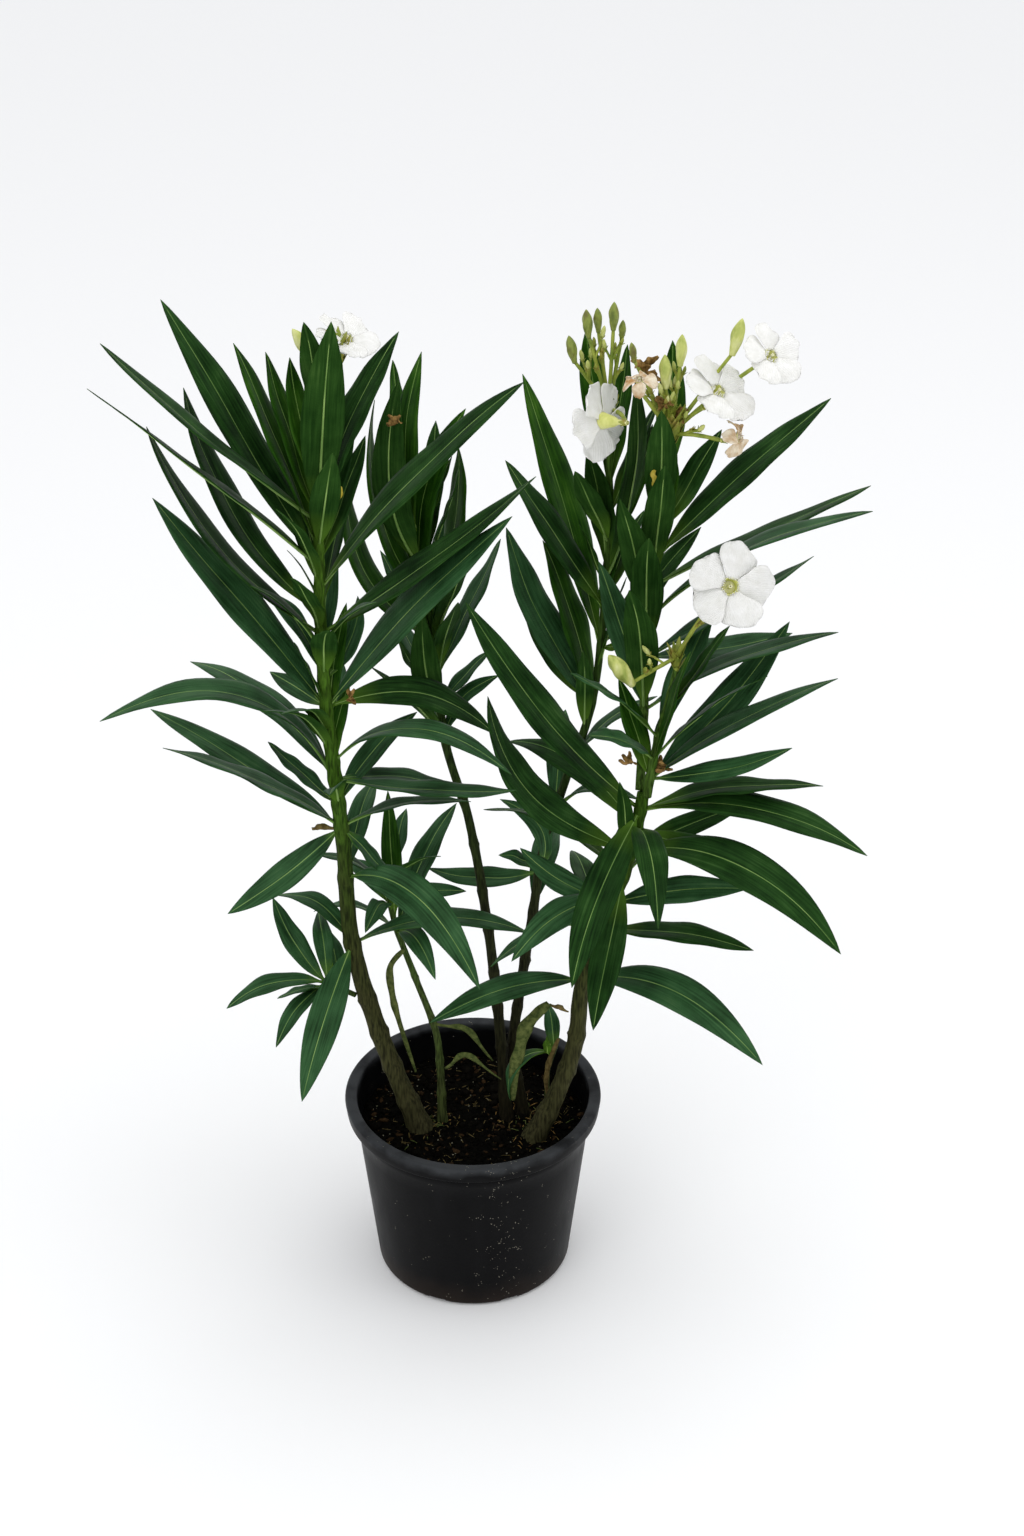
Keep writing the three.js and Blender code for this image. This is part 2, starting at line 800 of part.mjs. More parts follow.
// Where a head's stem, stalks, flowers and buds stand
function headPlan(head, cane) {
  const [x, y, z] = cane.points.at(-1);
  const base = new THREE.Vector3(x, y, z + GAP);
  const fork = base.clone().addScaledVector(up, FORK_HEIGHT);
  const stalkTo = (end, facing) => {
    const start = fork.clone().addScaledVector(up, -STALK_ROOT);
    const middle = fork.clone().lerp(end, 0.5);
    middle.addScaledVector(facing, -STALK_SWING).addScaledVector(up, STALK_LIFT);
    return new THREE.QuadraticBezierCurve3(start, middle, end);
  };
  const flowers = head.flowers.map(({ at, facing: front, size }) => {
    const [centre, facing] = [vector(at), vector(front).normalize()];
    const end = centre.clone().addScaledVector(facing, (TUBE_OVERLAP - TUBE_LENGTH) * size);
    return { centre, facing, size, stalk: stalkTo(end, facing) };
  });
  const buds = head.buds.map(({ at, size }) => {
    const centre = vector(at);
    const facing = centre.clone().sub(fork).normalize().addScaledVector(up, BUD_UPRIGHT).normalize();
    const end = centre.clone().addScaledVector(facing, (BUD_OVERLAP + BUD_FOOT[0]) * size);
    return { centre, facing, size, stalk: stalkTo(end, facing) };
  });
  return { base, fork, footRadius: radiusAt(cane, z), flowers, buds };
}

function headGeometries({ base, fork, footRadius, flowers, buds }) {
  const stem = new THREE.LineCurve3(base, fork);
  const parts = [twigGeometry(stem, footRadius, FORK_RADIUS, FORK_SIDES, 1)];
  [...flowers, ...buds].forEach(({ stalk }) => {
    parts.push(twigGeometry(stalk, STALK_FOOT_RADIUS, STALK_RADIUS, STALK_SIDES, STALK_STEPS));
  });
  flowers.forEach((flower) => parts.push(...flowerGeometries(flower)));
  buds.forEach((bud) => parts.push(budGeometry(bud)));
  return parts;
}

// Pot and soil

// The pot's outer radius at a height: it widens evenly from its base to under its rim
function bodyRadius(z) {
  return mix(BASE_RADIUS, BODY_TOP_RADIUS, z / (POT_HEIGHT - RIM_DEPTH));
}

// Turns a profile round the Z axis. It is given from the underside outwards and up.
function turned(profile) {
  const points = profile.map(([radius, z]) => new THREE.Vector2(radius, z));
  return new THREE.LatheGeometry(points, POT_SEGMENTS).rotateX(Math.PI / 2);
}

function potGeometry() {
  const underRim = POT_HEIGHT - RIM_DEPTH;
  const mouth = bodyRadius(underRim) - WALL;
  const baseCorner = BASE_ROUNDING * (1 - Math.SQRT1_2);
  const rimCorner = RIM_ROUNDING * (1 - Math.SQRT1_2);
  const shell = turned([
    [0, 0],
    [BASE_RADIUS - BASE_ROUNDING, 0],
    [bodyRadius(baseCorner) - baseCorner, baseCorner],
    [bodyRadius(BASE_ROUNDING), BASE_ROUNDING],
    [bodyRadius(underRim), underRim],
    [RIM_RADIUS - RIM_TUCK, underRim],
    [RIM_RADIUS, POT_HEIGHT - RIM_ROUNDING],
    [RIM_RADIUS - rimCorner, POT_HEIGHT - rimCorner],
    [RIM_RADIUS - RIM_ROUNDING, POT_HEIGHT],
    [mouth + RIM_ROUNDING / 2, POT_HEIGHT],
    [mouth, POT_HEIGHT - RIM_ROUNDING / 2],
    [mouth, underRim],
    [bodyRadius(FLOOR) - WALL, FLOOR],
    [0, FLOOR],
  ]);
  let pot = toSolid(shell);
  for (let k = 0; k < DRAIN_COUNT; k++) {
    const slot = new THREE.BoxGeometry(DRAIN_LENGTH, DRAIN_WIDTH, 2 * DRAIN_HEIGHT);
    slot.translate(BASE_RADIUS, 0, 0);
    slot.rotateZ((2 * Math.PI * (k + 0.5)) / DRAIN_COUNT);
    pot = pot.subtract(toSolid(slot));
  }
  return toGeometry(pot);
}

function soilGeometry() {
  const bottom = Math.max(FLOOR, DRAIN_HEIGHT) + GAP;
  const inset = WALL + 2 * GAP;
  const edge = SOIL_LEVEL - SOIL_EDGE_DROP;
  return turned([
    [0, bottom],
    [bodyRadius(bottom) - inset, bottom],
    [bodyRadius(edge) - inset, edge],
    [SOIL_FLAT_RADIUS, SOIL_LEVEL],
    [0, SOIL_LEVEL],
  ]);
}

// Assembly

const leafMaterial = new THREE.MeshStandardMaterial({ color: 0x1e4628, roughness: 0.45, metalness: 0 });
const woodMaterial = new THREE.MeshStandardMaterial({ color: 0x555034, roughness: 0.8, metalness: 0 });
const petalMaterial = new THREE.MeshStandardMaterial({ color: 0xebe9e6, roughness: 0.6, metalness: 0 });
const potMaterial = new THREE.MeshStandardMaterial({ color: 0x19191c, roughness: 0.5, metalness: 0 });
const soilMaterial = new THREE.MeshStandardMaterial({ color: 0x19120f, roughness: 1, metalness: 0 });

const plant = new THREE.Group();

function addNode(name, geometry, material) {
  const mesh = new THREE.Mesh(geometry, material);
  mesh.name = name;
  plant.add(mesh);
}

function fused(geometries) {
  return toGeometry(wasm.Manifold.union(geometries.map(toSolid)).simplify(SMALLEST_DETAIL));
}

const leafGeometry = (blade) => bladeGeometry(blade, LEAF_STATIONS, leafOutline, LEAF_THICKNESS, true);

addNode("pot", potGeometry(), potMaterial);
addNode("soil", soilGeometry(), soilMaterial);

const caneNamed = (name) => CANES.find((cane) => cane.name === name);
const heads = HEADS.map((head) => headPlan(head, caneNamed(head.cane)));
CANES.forEach(reserveWood);
heads.forEach((head, i) => reserveHead(head, CANES.length + i));
const leaves = CANES.map(markedLeaves);
CANES.forEach((cane, owner) => leaves[owner].push(...grownLeaves(cane, owner)));

CANES.forEach((cane, owner) => {
  const foot = cane.points[0][2] === SOIL_LEVEL ? SOIL_LEVEL + GAP : cane.points[0][2];
  const split = Math.max(cane.leafy, foot);
  if (split > foot) addNode(`stem_${cane.name}`, caneGeometry(cane, foot, split - GAP), woodMaterial);
  const shoot = caneGeometry(cane, split, cane.points.at(-1)[2]);
  const kept = leaves[owner].filter(Boolean);
  addNode(`foliage_${cane.name}`, fused([shoot, ...kept.map(leafGeometry)]), leafMaterial);
});

heads.forEach((head, i) => addNode(HEADS[i].name, fused(headGeometries(head)), petalMaterial));

export default plant;
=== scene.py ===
# %% [markdown]
# # A white oleander in its nursery pot
# The plant comes to this lesson as a frame of plain solids: a pot, its compost, canes, masses of leaves
# and heads of flowers. The solids have the right size and place, and few faces. Here each of them gets
# the surface that a close look shows: leaves with a fold and a midrib, bark with leaf scars, petals,
# buds, crumbs of compost and a dusty pot. Everything is in metres in Blender, and in millimetres in the
# numbers below, because that is how a plant is measured by hand.

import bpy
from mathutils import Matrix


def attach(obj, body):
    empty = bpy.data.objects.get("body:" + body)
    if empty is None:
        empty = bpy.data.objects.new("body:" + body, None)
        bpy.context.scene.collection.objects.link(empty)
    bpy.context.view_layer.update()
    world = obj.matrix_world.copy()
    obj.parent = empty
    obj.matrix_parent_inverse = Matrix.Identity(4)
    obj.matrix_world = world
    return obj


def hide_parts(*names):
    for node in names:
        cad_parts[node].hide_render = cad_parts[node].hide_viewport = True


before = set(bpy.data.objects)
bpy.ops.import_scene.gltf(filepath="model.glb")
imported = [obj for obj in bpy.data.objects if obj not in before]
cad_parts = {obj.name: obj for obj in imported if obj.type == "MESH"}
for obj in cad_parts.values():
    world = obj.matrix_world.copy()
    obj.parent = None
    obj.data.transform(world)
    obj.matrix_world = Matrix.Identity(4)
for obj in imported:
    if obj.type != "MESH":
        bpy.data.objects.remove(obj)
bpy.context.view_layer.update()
print("solids in the frame:", len(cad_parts))

# %% Tools
import math

import bpy
import numpy as np

MM = 0.001

# %% [markdown]
# ## The camera
# A camera can be set by eye or worked out. Here it is worked out from the two ellipses of the pot, its
# rim and its base: together they give the height, the slope and the lens. The long lens keeps the pot's
# sides almost parallel.

# %% Camera
CAMERA_PLACE = (0.029, -1.79, 1.50)
CAMERA_SLOPE = math.radians(30.96)
PICTURE_HEIGHT = 1536
FOCAL_PIXELS = 3000
SENSOR = 36.0


def add_camera():
    data = bpy.data.cameras.new("camera")
    data.sensor_fit = "VERTICAL"
    data.sensor_height = SENSOR
    data.lens = SENSOR * FOCAL_PIXELS / PICTURE_HEIGHT
    camera = bpy.data.objects.new("camera", data)
    camera.location = CAMERA_PLACE
    camera.rotation_euler = (math.pi / 2 - CAMERA_SLOPE, 0, 0)
    bpy.context.scene.collection.objects.link(camera)
    bpy.context.scene.camera = camera
    return camera


print("lens in millimetres:", round(add_camera().data.lens, 1))

# %% [markdown]
# ## A heap of faces
# A plant has hundreds of leaves. Each could be its own object, but a few joined meshes load and render
# much faster. So every leaf, twig and petal is first worked out as arrays of points and faces, and put
# on a heap. A heap then becomes one mesh, and remembers which finish each face has.


# %% Heaps and pieces
class Heap:
    def __init__(self):
        self.points, self.marks, self.faces, self.slots, self.flats = [], [], [], [], []
        self.count = 0

    def add(self, points, marks=None):
        """Adds points, with a place on their own surface for each, and returns the first one's number."""
        first = self.count
        self.points.append(points)
        self.marks.append(np.zeros((len(points), 2)) if marks is None else marks)
        self.count += len(points)
        return first

    def add_grid(self, points, marks=None):
        """Adds a grid of points, and returns the grid of their numbers."""
        first = self.add(points.reshape(-1, 3), None if marks is None else marks.reshape(-1, 2))
        return first + np.arange(points.shape[0] * points.shape[1]).reshape(points.shape[:2])

    def cover(self, faces, slot, flat=False):
        self.faces.extend(faces)
        self.slots.extend([slot] * len(faces))
        self.flats.extend([flat] * len(faces))

    def cover_quads(self, corners, slot, flat=False):
        """Faces with four corners, from one array of point numbers for each corner."""
        self.cover(np.stack(corners, axis=-1).reshape(-1, 4).tolist(), slot, flat)


def make_piece(name, heap, finishes):
    """One smooth mesh from a heap. Its points are in millimetres, and a face's slot picks its finish."""
    mesh = bpy.data.meshes.new(name)
    mesh.from_pydata((np.concatenate(heap.points) * MM).tolist(), [], heap.faces)
    for finish in finishes:
        mesh.materials.append(finish)
    mesh.polygons.foreach_set("material_index", heap.slots)
    mesh.polygons.foreach_set("use_smooth", [not flat for flat in heap.flats])
    corners = np.empty(len(mesh.loops), int)
    mesh.loops.foreach_get("vertex_index", corners)
    surface = mesh.uv_layers.new(name="surface")
    surface.data.foreach_set("uv", (np.concatenate(heap.marks) * MM)[corners].ravel())
    mesh.update()
    piece = bpy.data.objects.new(name, mesh)
    bpy.context.scene.collection.objects.link(piece)
    return piece


def place_piece(piece, nodes):
    """The piece rides with the plant and stands for its solids."""
    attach(piece, "root")
    if nodes:
        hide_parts(*nodes)
    print(piece.name, "has", len(piece.data.polygons), "faces")


# %% [markdown]
# ## Sheets and tubes
# Leaves and petals are thin sheets, and stems and stalks are tubes. A sheet starts as a grid of points on
# its upper side. Its back is the same grid, moved a hair along the normals, and a narrow band closes the
# edge, so that the mesh is a true solid. The band is shaded flat, or it would darken the leaf's margin.


# %% Sheets
def unit(vectors):
    length = np.linalg.norm(vectors, axis=-1, keepdims=True)
    return vectors / np.maximum(length, 1e-9)


def add_sheet(heap, top, thickness, slots, marks=None):
    """A thin closed sheet under a grid of points. The slots are those of its face and its back."""
    normal = unit(np.cross(np.gradient(top, axis=0), np.gradient(top, axis=1)))
    face = heap.add_grid(top, marks)
    rear = heap.add_grid(top - normal * thickness, marks)
    heap.cover_quads([face[:-1, :-1], face[1:, :-1], face[1:, 1:], face[:-1, 1:]], slots[0])
    heap.cover_quads([rear[:-1, :-1], rear[:-1, 1:], rear[1:, 1:], rear[1:, :-1]], slots[1])
    edges = [
        (rear[:, 0], face[:, 0]),
        (face[:, -1], rear[:, -1]),
        (face[0], rear[0]),
        (rear[-1], face[-1]),
    ]
    for a, b in edges:
        heap.cover_quads([a[:-1], a[1:], b[1:], b[:-1]], slots[1], flat=True)


# %% Tubes
UP = np.array([0.0, 0.0, 1.0])
RIGHT = np.array([1.0, 0.0, 0.0])
AWAY = np.array([0.0, 1.0, 0.0])
NEARLY_AWAY = 0.9


def tube_frames(centres):
    """Two directions across a line of centres, carried along it without twisting."""
    along = unit(np.gradient(centres, axis=0))
    helper = AWAY if abs(along[0][1]) < NEARLY_AWAY else RIGHT
    across = [unit(np.cross(helper, along[0]))]
    for direction in along[1:]:
        last = across[-1]
        across.append(unit(last - direction * last.dot(direction)))
    across = np.array(across)
    return across, np.cross(along, across)


def cover_rings(heap, ring, slot, flat_ends=False):
    """Faces between neighbouring rings of point numbers, and one face over each end."""
    turned = np.roll(ring, -1, axis=1)
    heap.cover_quads([ring[:-1], turned[:-1], turned[1:], ring[1:]], slot)
    heap.cover([ring[0][::-1].tolist(), ring[-1].tolist()], slot, flat_ends)


def add_tube(heap, centres, radii, sides, slot):
    """A closed tube. The radii are one for each centre, or one for each centre and side."""
    centres = np.asarray(centres, float)
    radii = np.asarray(radii, float)
    if radii.ndim == 1:
        radii = np.repeat(radii[:, None], sides, axis=1)
    u, v = tube_frames(centres)
    angle = np.arange(sides) * 2 * math.pi / sides
    round_u = radii[..., None] * np.cos(angle)[None, :, None] * u[:, None, :]
    round_v = radii[..., None] * np.sin(angle)[None, :, None] * v[:, None, :]
    points = centres[:, None, :] + round_u + round_v
    run = np.concatenate([[0], np.cumsum(np.linalg.norm(np.diff(centres, axis=0), axis=1))])
    marks = np.stack(np.broadcast_arrays(angle[None, :], run[:, None]), axis=-1)
    cover_rings(heap, heap.add_grid(points, marks), slot)


def bend(start, middle, end, steps):
    """Points on a curve that leaves its start towards the middle point and comes in to its end from it."""
    t = np.linspace(0, 1, steps + 1)[:, None]
    return (1 - t) ** 2 * start + 2 * (1 - t) * t * middle + t**2 * end


def turn_profile(heap, profile, steps, slot, shape=None):
    """An outline of radius and height, turned round the Z axis and closed by its two ends.
    A shape may move its points."""
    angle = np.arange(steps) * 2 * math.pi / steps
    radius, height = np.asarray(profile, float).T
    x = radius[:, None] * np.cos(angle)
    y = radius[:, None] * np.sin(angle)
    z = np.repeat(height[:, None], steps, axis=1)
    points = np.stack([x, y, z], axis=-1)
    if shape:
        points = shape(points, angle)
    cover_rings(heap, heap.add_grid(points), slot, flat_ends=True)


# %% [markdown]
# ## Finishes
# Every finish here is made from nodes, with no pictures. Most of them share one recipe: a noise pattern
# at the real scale of the surface moves the colour a little, and another one, finer, raises it. These
# helpers keep each recipe short. Colours are given as a painter reads them off a screen, from 0 to 255.


# %% Helpers for finishes
# A mix node has its own sockets for each kind of value. These are the ones for colours
MIX_SHARE, MIX_LOWER, MIX_UPPER = 0, 6, 7
MIX_RESULT = 2
NOTHING = (0, 0, 0, 1)


def paint(red, green, blue):
    """A screen colour as the linear one that Blender mixes with."""
    share = np.array([red, green, blue]) / 255
    linear = np.where(share <= 0.04045, share / 12.92, ((share + 0.055) / 1.055) ** 2.4)
    return (*[float(value) for value in linear], 1.0)


def new_finish(name, colour, roughness, gloss=0.5):
    finish = bpy.data.materials.new(name)
    finish.use_nodes = True
    shader = finish.node_tree.nodes["Principled BSDF"]
    shader.inputs["Base Color"].default_value = colour
    shader.inputs["Roughness"].default_value = roughness
    shader.inputs["Specular IOR Level"].default_value = gloss
    return finish


def feed(finish, socket, value):
    """A plain value sets a socket, and a socket of another node is wired to it."""
    if isinstance(value, bpy.types.NodeSocket):
        finish.node_tree.links.new(value, socket)
    else:
        socket.default_value = value


def add_node(finish, kind, **values):
    """A new node. Its sockets go by name, or by number after an underline."""
    node = finish.node_tree.nodes.new(kind)
    for name, value in values.items():
        feed(finish, node.inputs[int(name[1:]) if name[1:].isdigit() else name], value)
    return node


def wire(finish, output, name):
    feed(finish, finish.node_tree.nodes["Principled BSDF"].inputs[name], output)


def place_in(finish, kind="Object"):
    """Where each point lies in the object, or with the kind UV on its own surface."""
    return add_node(finish, "ShaderNodeTexCoord").outputs[kind]


def split(finish, place):
    """X, Y and Z of a place."""
    return tuple(add_node(finish, "ShaderNodeSeparateXYZ", Vector=place).outputs)


def noise(finish, per_metre, detail=3.0, stretch=(1, 1, 1)):
    """A noise pattern fixed to the object, with this many blobs in a metre."""
    mapped = add_node(finish, "ShaderNodeMapping", Vector=place_in(finish), Scale=stretch).outputs["Vector"]
    pattern = add_node(finish, "ShaderNodeTexNoise", Vector=mapped, Scale=per_metre, Detail=detail)
    return pattern.outputs["Fac"]


def ramp(finish, amount, stops):
    """Colours dealt out by an amount: each stop is the amount and its colour."""
    node = add_node(finish, "ShaderNodeValToRGB", Fac=amount)
    node.color_ramp.elements[0].position = stops[0][0]
    node.color_ramp.elements[0].color = stops[0][1]
    node.color_ramp.elements[1].position = stops[-1][0]
    node.color_ramp.elements[1].color = stops[-1][1]
    for place, colour in stops[1:-1]:
        node.color_ramp.elements.new(place).color = colour
    return node.outputs["Color"]


def maths(finish, operation, a, b=0.0, c=0.0):
    node = add_node(finish, "ShaderNodeMath", _0=a, _1=b, _2=c)
    node.operation = operation
    return node.outputs[0]


def mix(finish, share, lower, upper, blend="MIX"):
    """Two colours mixed. The share says how much the upper one counts."""
    node = add_node(finish, "ShaderNodeMix")
    node.data_type = "RGBA"
    node.blend_type = blend
    for socket, value in ((MIX_SHARE, share), (MIX_LOWER, lower), (MIX_UPPER, upper)):
        feed(finish, node.inputs[socket], value)
    return node.outputs[MIX_RESULT]


def raise_surface(finish, height, millimetres, strength=1.0):
    node = add_node(finish, "ShaderNodeBump", Height=height, Strength=strength, Distance=millimetres * MM)
    wire(finish, node.outputs["Normal"], "Normal")


# %% [markdown]
# ## The pot
# A nursery pot is moulded in thin black plastic. It widens evenly to a rim that is rolled over into a
# band, with a small step under it, and its bottom edge is notched to let water out. Turning one outline
# gives all of it but the notches, and those are made by lifting the outline's lowest points in places.
# A cut would leave the same notches, with more faces to clean up.

# %% The pot's shape
POT_HEIGHT = 146.0
RIM_RADIUS = 95.0
BODY_TOP_RADIUS = 87.5
BASE_RADIUS = 72.0
RIM_DEPTH = 12.0
WALL = 1.8
FLOOR_THICKNESS = 2.6
BASE_ROUNDING = 5.0
DRAIN_COUNT = 8
DRAIN_WIDTH = 13.0
DRAIN_HEIGHT = 3.6
DRAIN_SLOPE = 1.5
FOOT_INSIDE = 57.0
POT_STEPS = 216
UNDER_RIM = POT_HEIGHT - RIM_DEPTH


def body_radius(z):
    return BASE_RADIUS + (BODY_TOP_RADIUS - BASE_RADIUS) * z / UNDER_RIM


def arc(centre_radius, centre_height, size, start, end, steps):
    """Points of a round corner in the outline, between two angles in degrees."""
    angles = np.radians(np.linspace(start, end, steps))
    return [(centre_radius + size * math.cos(a), centre_height + size * math.sin(a)) for a in angles]


def pot_outline():
    base_centre = body_radius(BASE_ROUNDING) - BASE_ROUNDING
    mouth = body_radius(UNDER_RIM) - WALL
    outside = [(8, 0.6), (40, 0.6), (58, 0.6), (60, 0.0)]
    outside += arc(base_centre, BASE_ROUNDING, BASE_ROUNDING, -90, -5, 8)
    outside += [(body_radius(z), z) for z in np.linspace(12, 122, 12)]
    outside += [(body_radius(124) + 0.7, 124), (body_radius(130) + 0.8, 130)]
    outside += [(body_radius(131.5) + 0.2, 131.5), (89.2, 132.4), (89.6, 133.6)]
    outside += arc(RIM_RADIUS - 2.2, UNDER_RIM + 1.0, 1.0, -90, 0, 4)
    outside += arc(RIM_RADIUS - 2.6, POT_HEIGHT - 2.6, 2.6, 0, 90, 6)
    inside = arc(mouth + 2.0, POT_HEIGHT - 2.2, 1.6, 90, 180, 5)
    inside += [(mouth + 0.2, 140), (mouth, UNDER_RIM), (body_radius(122) - WALL - 0.4, 122)]
    inside += [(body_radius(z) - WALL, z) for z in (100, 60, 20, 6)]
    inside += [(body_radius(3) - WALL - 3, FLOOR_THICKNESS), (40, FLOOR_THICKNESS), (8, FLOOR_THICKNESS)]
    return outside + inside


def notch(points, angle):
    """Lifts the bottom edge where a drain notch is, and lets the thin wall be a little out of true."""
    radius = np.hypot(points[..., 0], points[..., 1])
    spacing = 2 * math.pi / DRAIN_COUNT
    off_centre = np.abs((angle / spacing) % 1 - 0.5) * spacing * BASE_RADIUS
    inside_notch = np.clip((DRAIN_WIDTH / 2 - off_centre) / DRAIN_SLOPE + 0.5, 0, 1)
    near_edge = (radius > FOOT_INSIDE) & (points[..., 2] < DRAIN_HEIGHT)
    lift = (DRAIN_HEIGHT - points[..., 2]) * inside_notch[None, :] * near_edge
    out_of_true = 1 + 0.0016 * np.sin(2 * angle + 0.7) + 0.0009 * np.sin(5 * angle)
    return np.stack([points[..., 0] * out_of_true, points[..., 1] * out_of_true, points[..., 2] + lift], -1)


# %% [markdown]
# The plastic is almost black, but it never looks like one flat black. The light that catches the rim is
# painted in, as a paler grey along its top. Handling leaves faint scuffs, and dust and splashed lime stay
# on the wall as pale specks, most of them in a loose band down its front. A cell pattern gives the
# specks: only the middle of each cell is left to show.

# %% The pot's finish
POT_BLACK = paint(8, 8, 9)
POT_SCUFFED = paint(13, 13, 14)
POT_WORN = paint(20, 20, 22)
# Paler grey at the top of the rim, where light from above falls: a painted highlight.
RIM_PAINTED_HIGHLIGHT = paint(56, 58, 60)
DUST = paint(132, 128, 116)
SOILED = paint(34, 26, 20)
SPECKS_PER_METRE = 560
SPECK_SIZE = 0.2
SPECKS_FROM = 0.655
SPLASH_PLACE = 22.0
SPLASH_WIDTH = 26.0
SPLASH_EXTRA = 0.13


def speck_spread(finish, x, y):
    """How many specks there are: a few all round, and more in the band down the front."""
    off = maths(finish, "ABSOLUTE", maths(finish, "SUBTRACT", x, SPLASH_PLACE * MM))
    near = maths(finish, "SUBTRACT", 1.0, maths(finish, "MULTIPLY", off, 1 / (SPLASH_WIDTH * MM)))
    front = maths(finish, "LESS_THAN", y, 0.0)
    extra = maths(finish, "MULTIPLY", maths(finish, "MAXIMUM", near, 0.0), front)
    return maths(finish, "ADD", noise(finish, 150, 5.0), maths(finish, "MULTIPLY", extra, SPLASH_EXTRA))


def plastic_finish():
    """Black plastic with a painted highlight along its rim, dust on its side and earth round its foot."""
    finish = new_finish("pot_plastic", POT_BLACK, 0.42, 0.05)
    scuffs = noise(finish, 60, 5.0, (1, 1, 0.35))
    plastic = ramp(finish, scuffs, [(0.35, POT_BLACK), (0.62, POT_SCUFFED), (0.8, POT_WORN)])
    place = place_in(finish)
    x, y, height = split(finish, place)
    level = maths(finish, "ADD", height, maths(finish, "MULTIPLY", noise(finish, 45, 4.0), 0.02))
    # Earth at the foot, and a painted highlight at the top of the rim where light from above falls.
    marks = ramp(finish, level, [(0.008, SOILED), (0.034, NOTHING), (0.15, NOTHING), (0.157, RIM_PAINTED_HIGHLIGHT)])
    marked = mix(finish, 1, plastic, marks, "ADD")
    cells = add_node(finish, "ShaderNodeTexVoronoi", Vector=place, Scale=SPECKS_PER_METRE)
    specks = maths(finish, "LESS_THAN", cells.outputs["Distance"], SPECK_SIZE)
    shown = maths(finish, "GREATER_THAN", speck_spread(finish, x, y), SPECKS_FROM)
    dust = maths(finish, "MULTIPLY", specks, shown)
    wire(finish, mix(finish, dust, marked, DUST), "Base Color")
    wire(finish, maths(finish, "MULTIPLY_ADD", scuffs, 0.3, 0.26), "Roughness")
    raise_surface(finish, noise(finish, 420, 4.0), 0.12, 0.6)
    return finish


pot_heap = Heap()
turn_profile(pot_heap, pot_outline(), POT_STEPS, 0, notch)
pot = make_piece("nursery_pot", pot_heap, [plastic_finish()])
place_piece(pot, ["pot"])

# %% [markdown]
# ## The compost
# Moist compost is dark and crumbly. A flat disc would look like card, so its surface is a fine grid that
# several sizes of wave lift and lower, and loose crumbs lie on it: most are nearly black, some are bark
# that has turned reddish brown, and a few are pale. Every crumb is one small lump with its corners moved
# at random.

# %% The compost's surface
SOIL_LEVEL = 121.0
SOIL_RINGS = 64
SOIL_STEPS = 190
SOIL_RELIEF = 1.5
SOIL_MIDDLE = 1.2
SOIL_GAP = 0.5
SOIL_SKIRT = 12
EDGE_SINK = 3.0
EDGE_START = 70
EDGE_WIDTH = 15


def soil_height(x, y):
    """Height of the compost at a place: broad humps, then clods, then grains."""
    hump = np.sin(x / 17 + 1.3) * np.cos(y / 21 - 0.4) + 0.6 * np.sin((x + y) / 11)
    clod = np.sin(x / 4.1 + 2 * np.sin(y / 6.3)) * np.sin(y / 3.7 + 1.5 * np.sin(x / 5.9))
    grain = np.sin(x * 1.9 + 3 * np.sin(y * 0.7)) * np.sin(y * 2.1 + 2 * np.sin(x * 0.9))
    return SOIL_LEVEL + SOIL_RELIEF * (0.45 * hump + 0.5 * clod + 0.3 * grain)


def edge_sink(radius):
    """How much lower the compost lies near the wall."""
    return EDGE_SINK * np.clip((radius - EDGE_START) / EDGE_WIDTH, 0, 1)


def add_soil(heap):
    rim = body_radius(SOIL_LEVEL) - WALL - SOIL_GAP
    radius = np.linspace(SOIL_MIDDLE, rim, SOIL_RINGS)[:, None]
    angle = (np.arange(SOIL_STEPS) * 2 * math.pi / SOIL_STEPS)[None, :]
    x, y = radius * np.cos(angle), radius * np.sin(angle)
    top = np.stack([x, y, soil_height(x, y) - edge_sink(radius)], axis=-1)
    skirt = np.stack([x[-1], y[-1], np.full(SOIL_STEPS, SOIL_LEVEL - SOIL_SKIRT)], axis=-1)
    ring = heap.add_grid(np.concatenate([top, skirt[None]]))
    turned = np.roll(ring, -1, axis=1)
    heap.cover_quads([ring[:-1], ring[1:], turned[1:], turned[:-1]], 0)
    heap.cover([ring[0].tolist(), ring[-1][::-1].tolist()], 0)


# %% Crumbs and flecks
CRUMBS = 2600
LUMP = unit(
    np.array(
        [
            [0, 0, 1], [0.9, 0, 0.4], [0.3, 0.85, 0.4], [-0.7, 0.5, 0.4],
            [-0.7, -0.5, 0.4], [0.3, -0.85, 0.4], [0.7, 0.5, -0.4], [-0.3, 0.85, -0.4],
            [-0.9, 0, -0.4], [-0.3, -0.85, -0.4], [0.7, -0.5, -0.4], [0, 0, -1],
        ]
    )
)
LUMP_FACES = [
    [0, 1, 2], [0, 2, 3], [0, 3, 4], [0, 4, 5], [0, 5, 1], [1, 6, 2], [2, 6, 7], [2, 7, 3], [3, 7, 8],
    [3, 8, 4], [4, 8, 9], [4, 9, 5], [5, 9, 10], [5, 10, 1], [1, 10, 6], [11, 7, 6], [11, 8, 7],
    [11, 9, 8], [11, 10, 9], [11, 6, 10],
]
CRUMB_REACH = 82
CRUMB_SPREAD = (2.2, 0.42)
SMALLEST_CRUMB = 0.35
CRUMB_ROUGHNESS = 0.3
CRUMB_LIFT = 0.15
CRUMB_KINDS = [
    {"share": 0.76, "shape": [1.0, 1.0, 0.7], "largest": math.inf},
    {"share": 0.11, "shape": [1.5, 0.8, 0.5], "largest": math.inf},
    {"share": 0.08, "shape": [4.0, 0.3, 0.3], "largest": 1.1},
    {"share": 0.05, "shape": [0.8, 0.7, 0.6], "largest": 0.9},
]


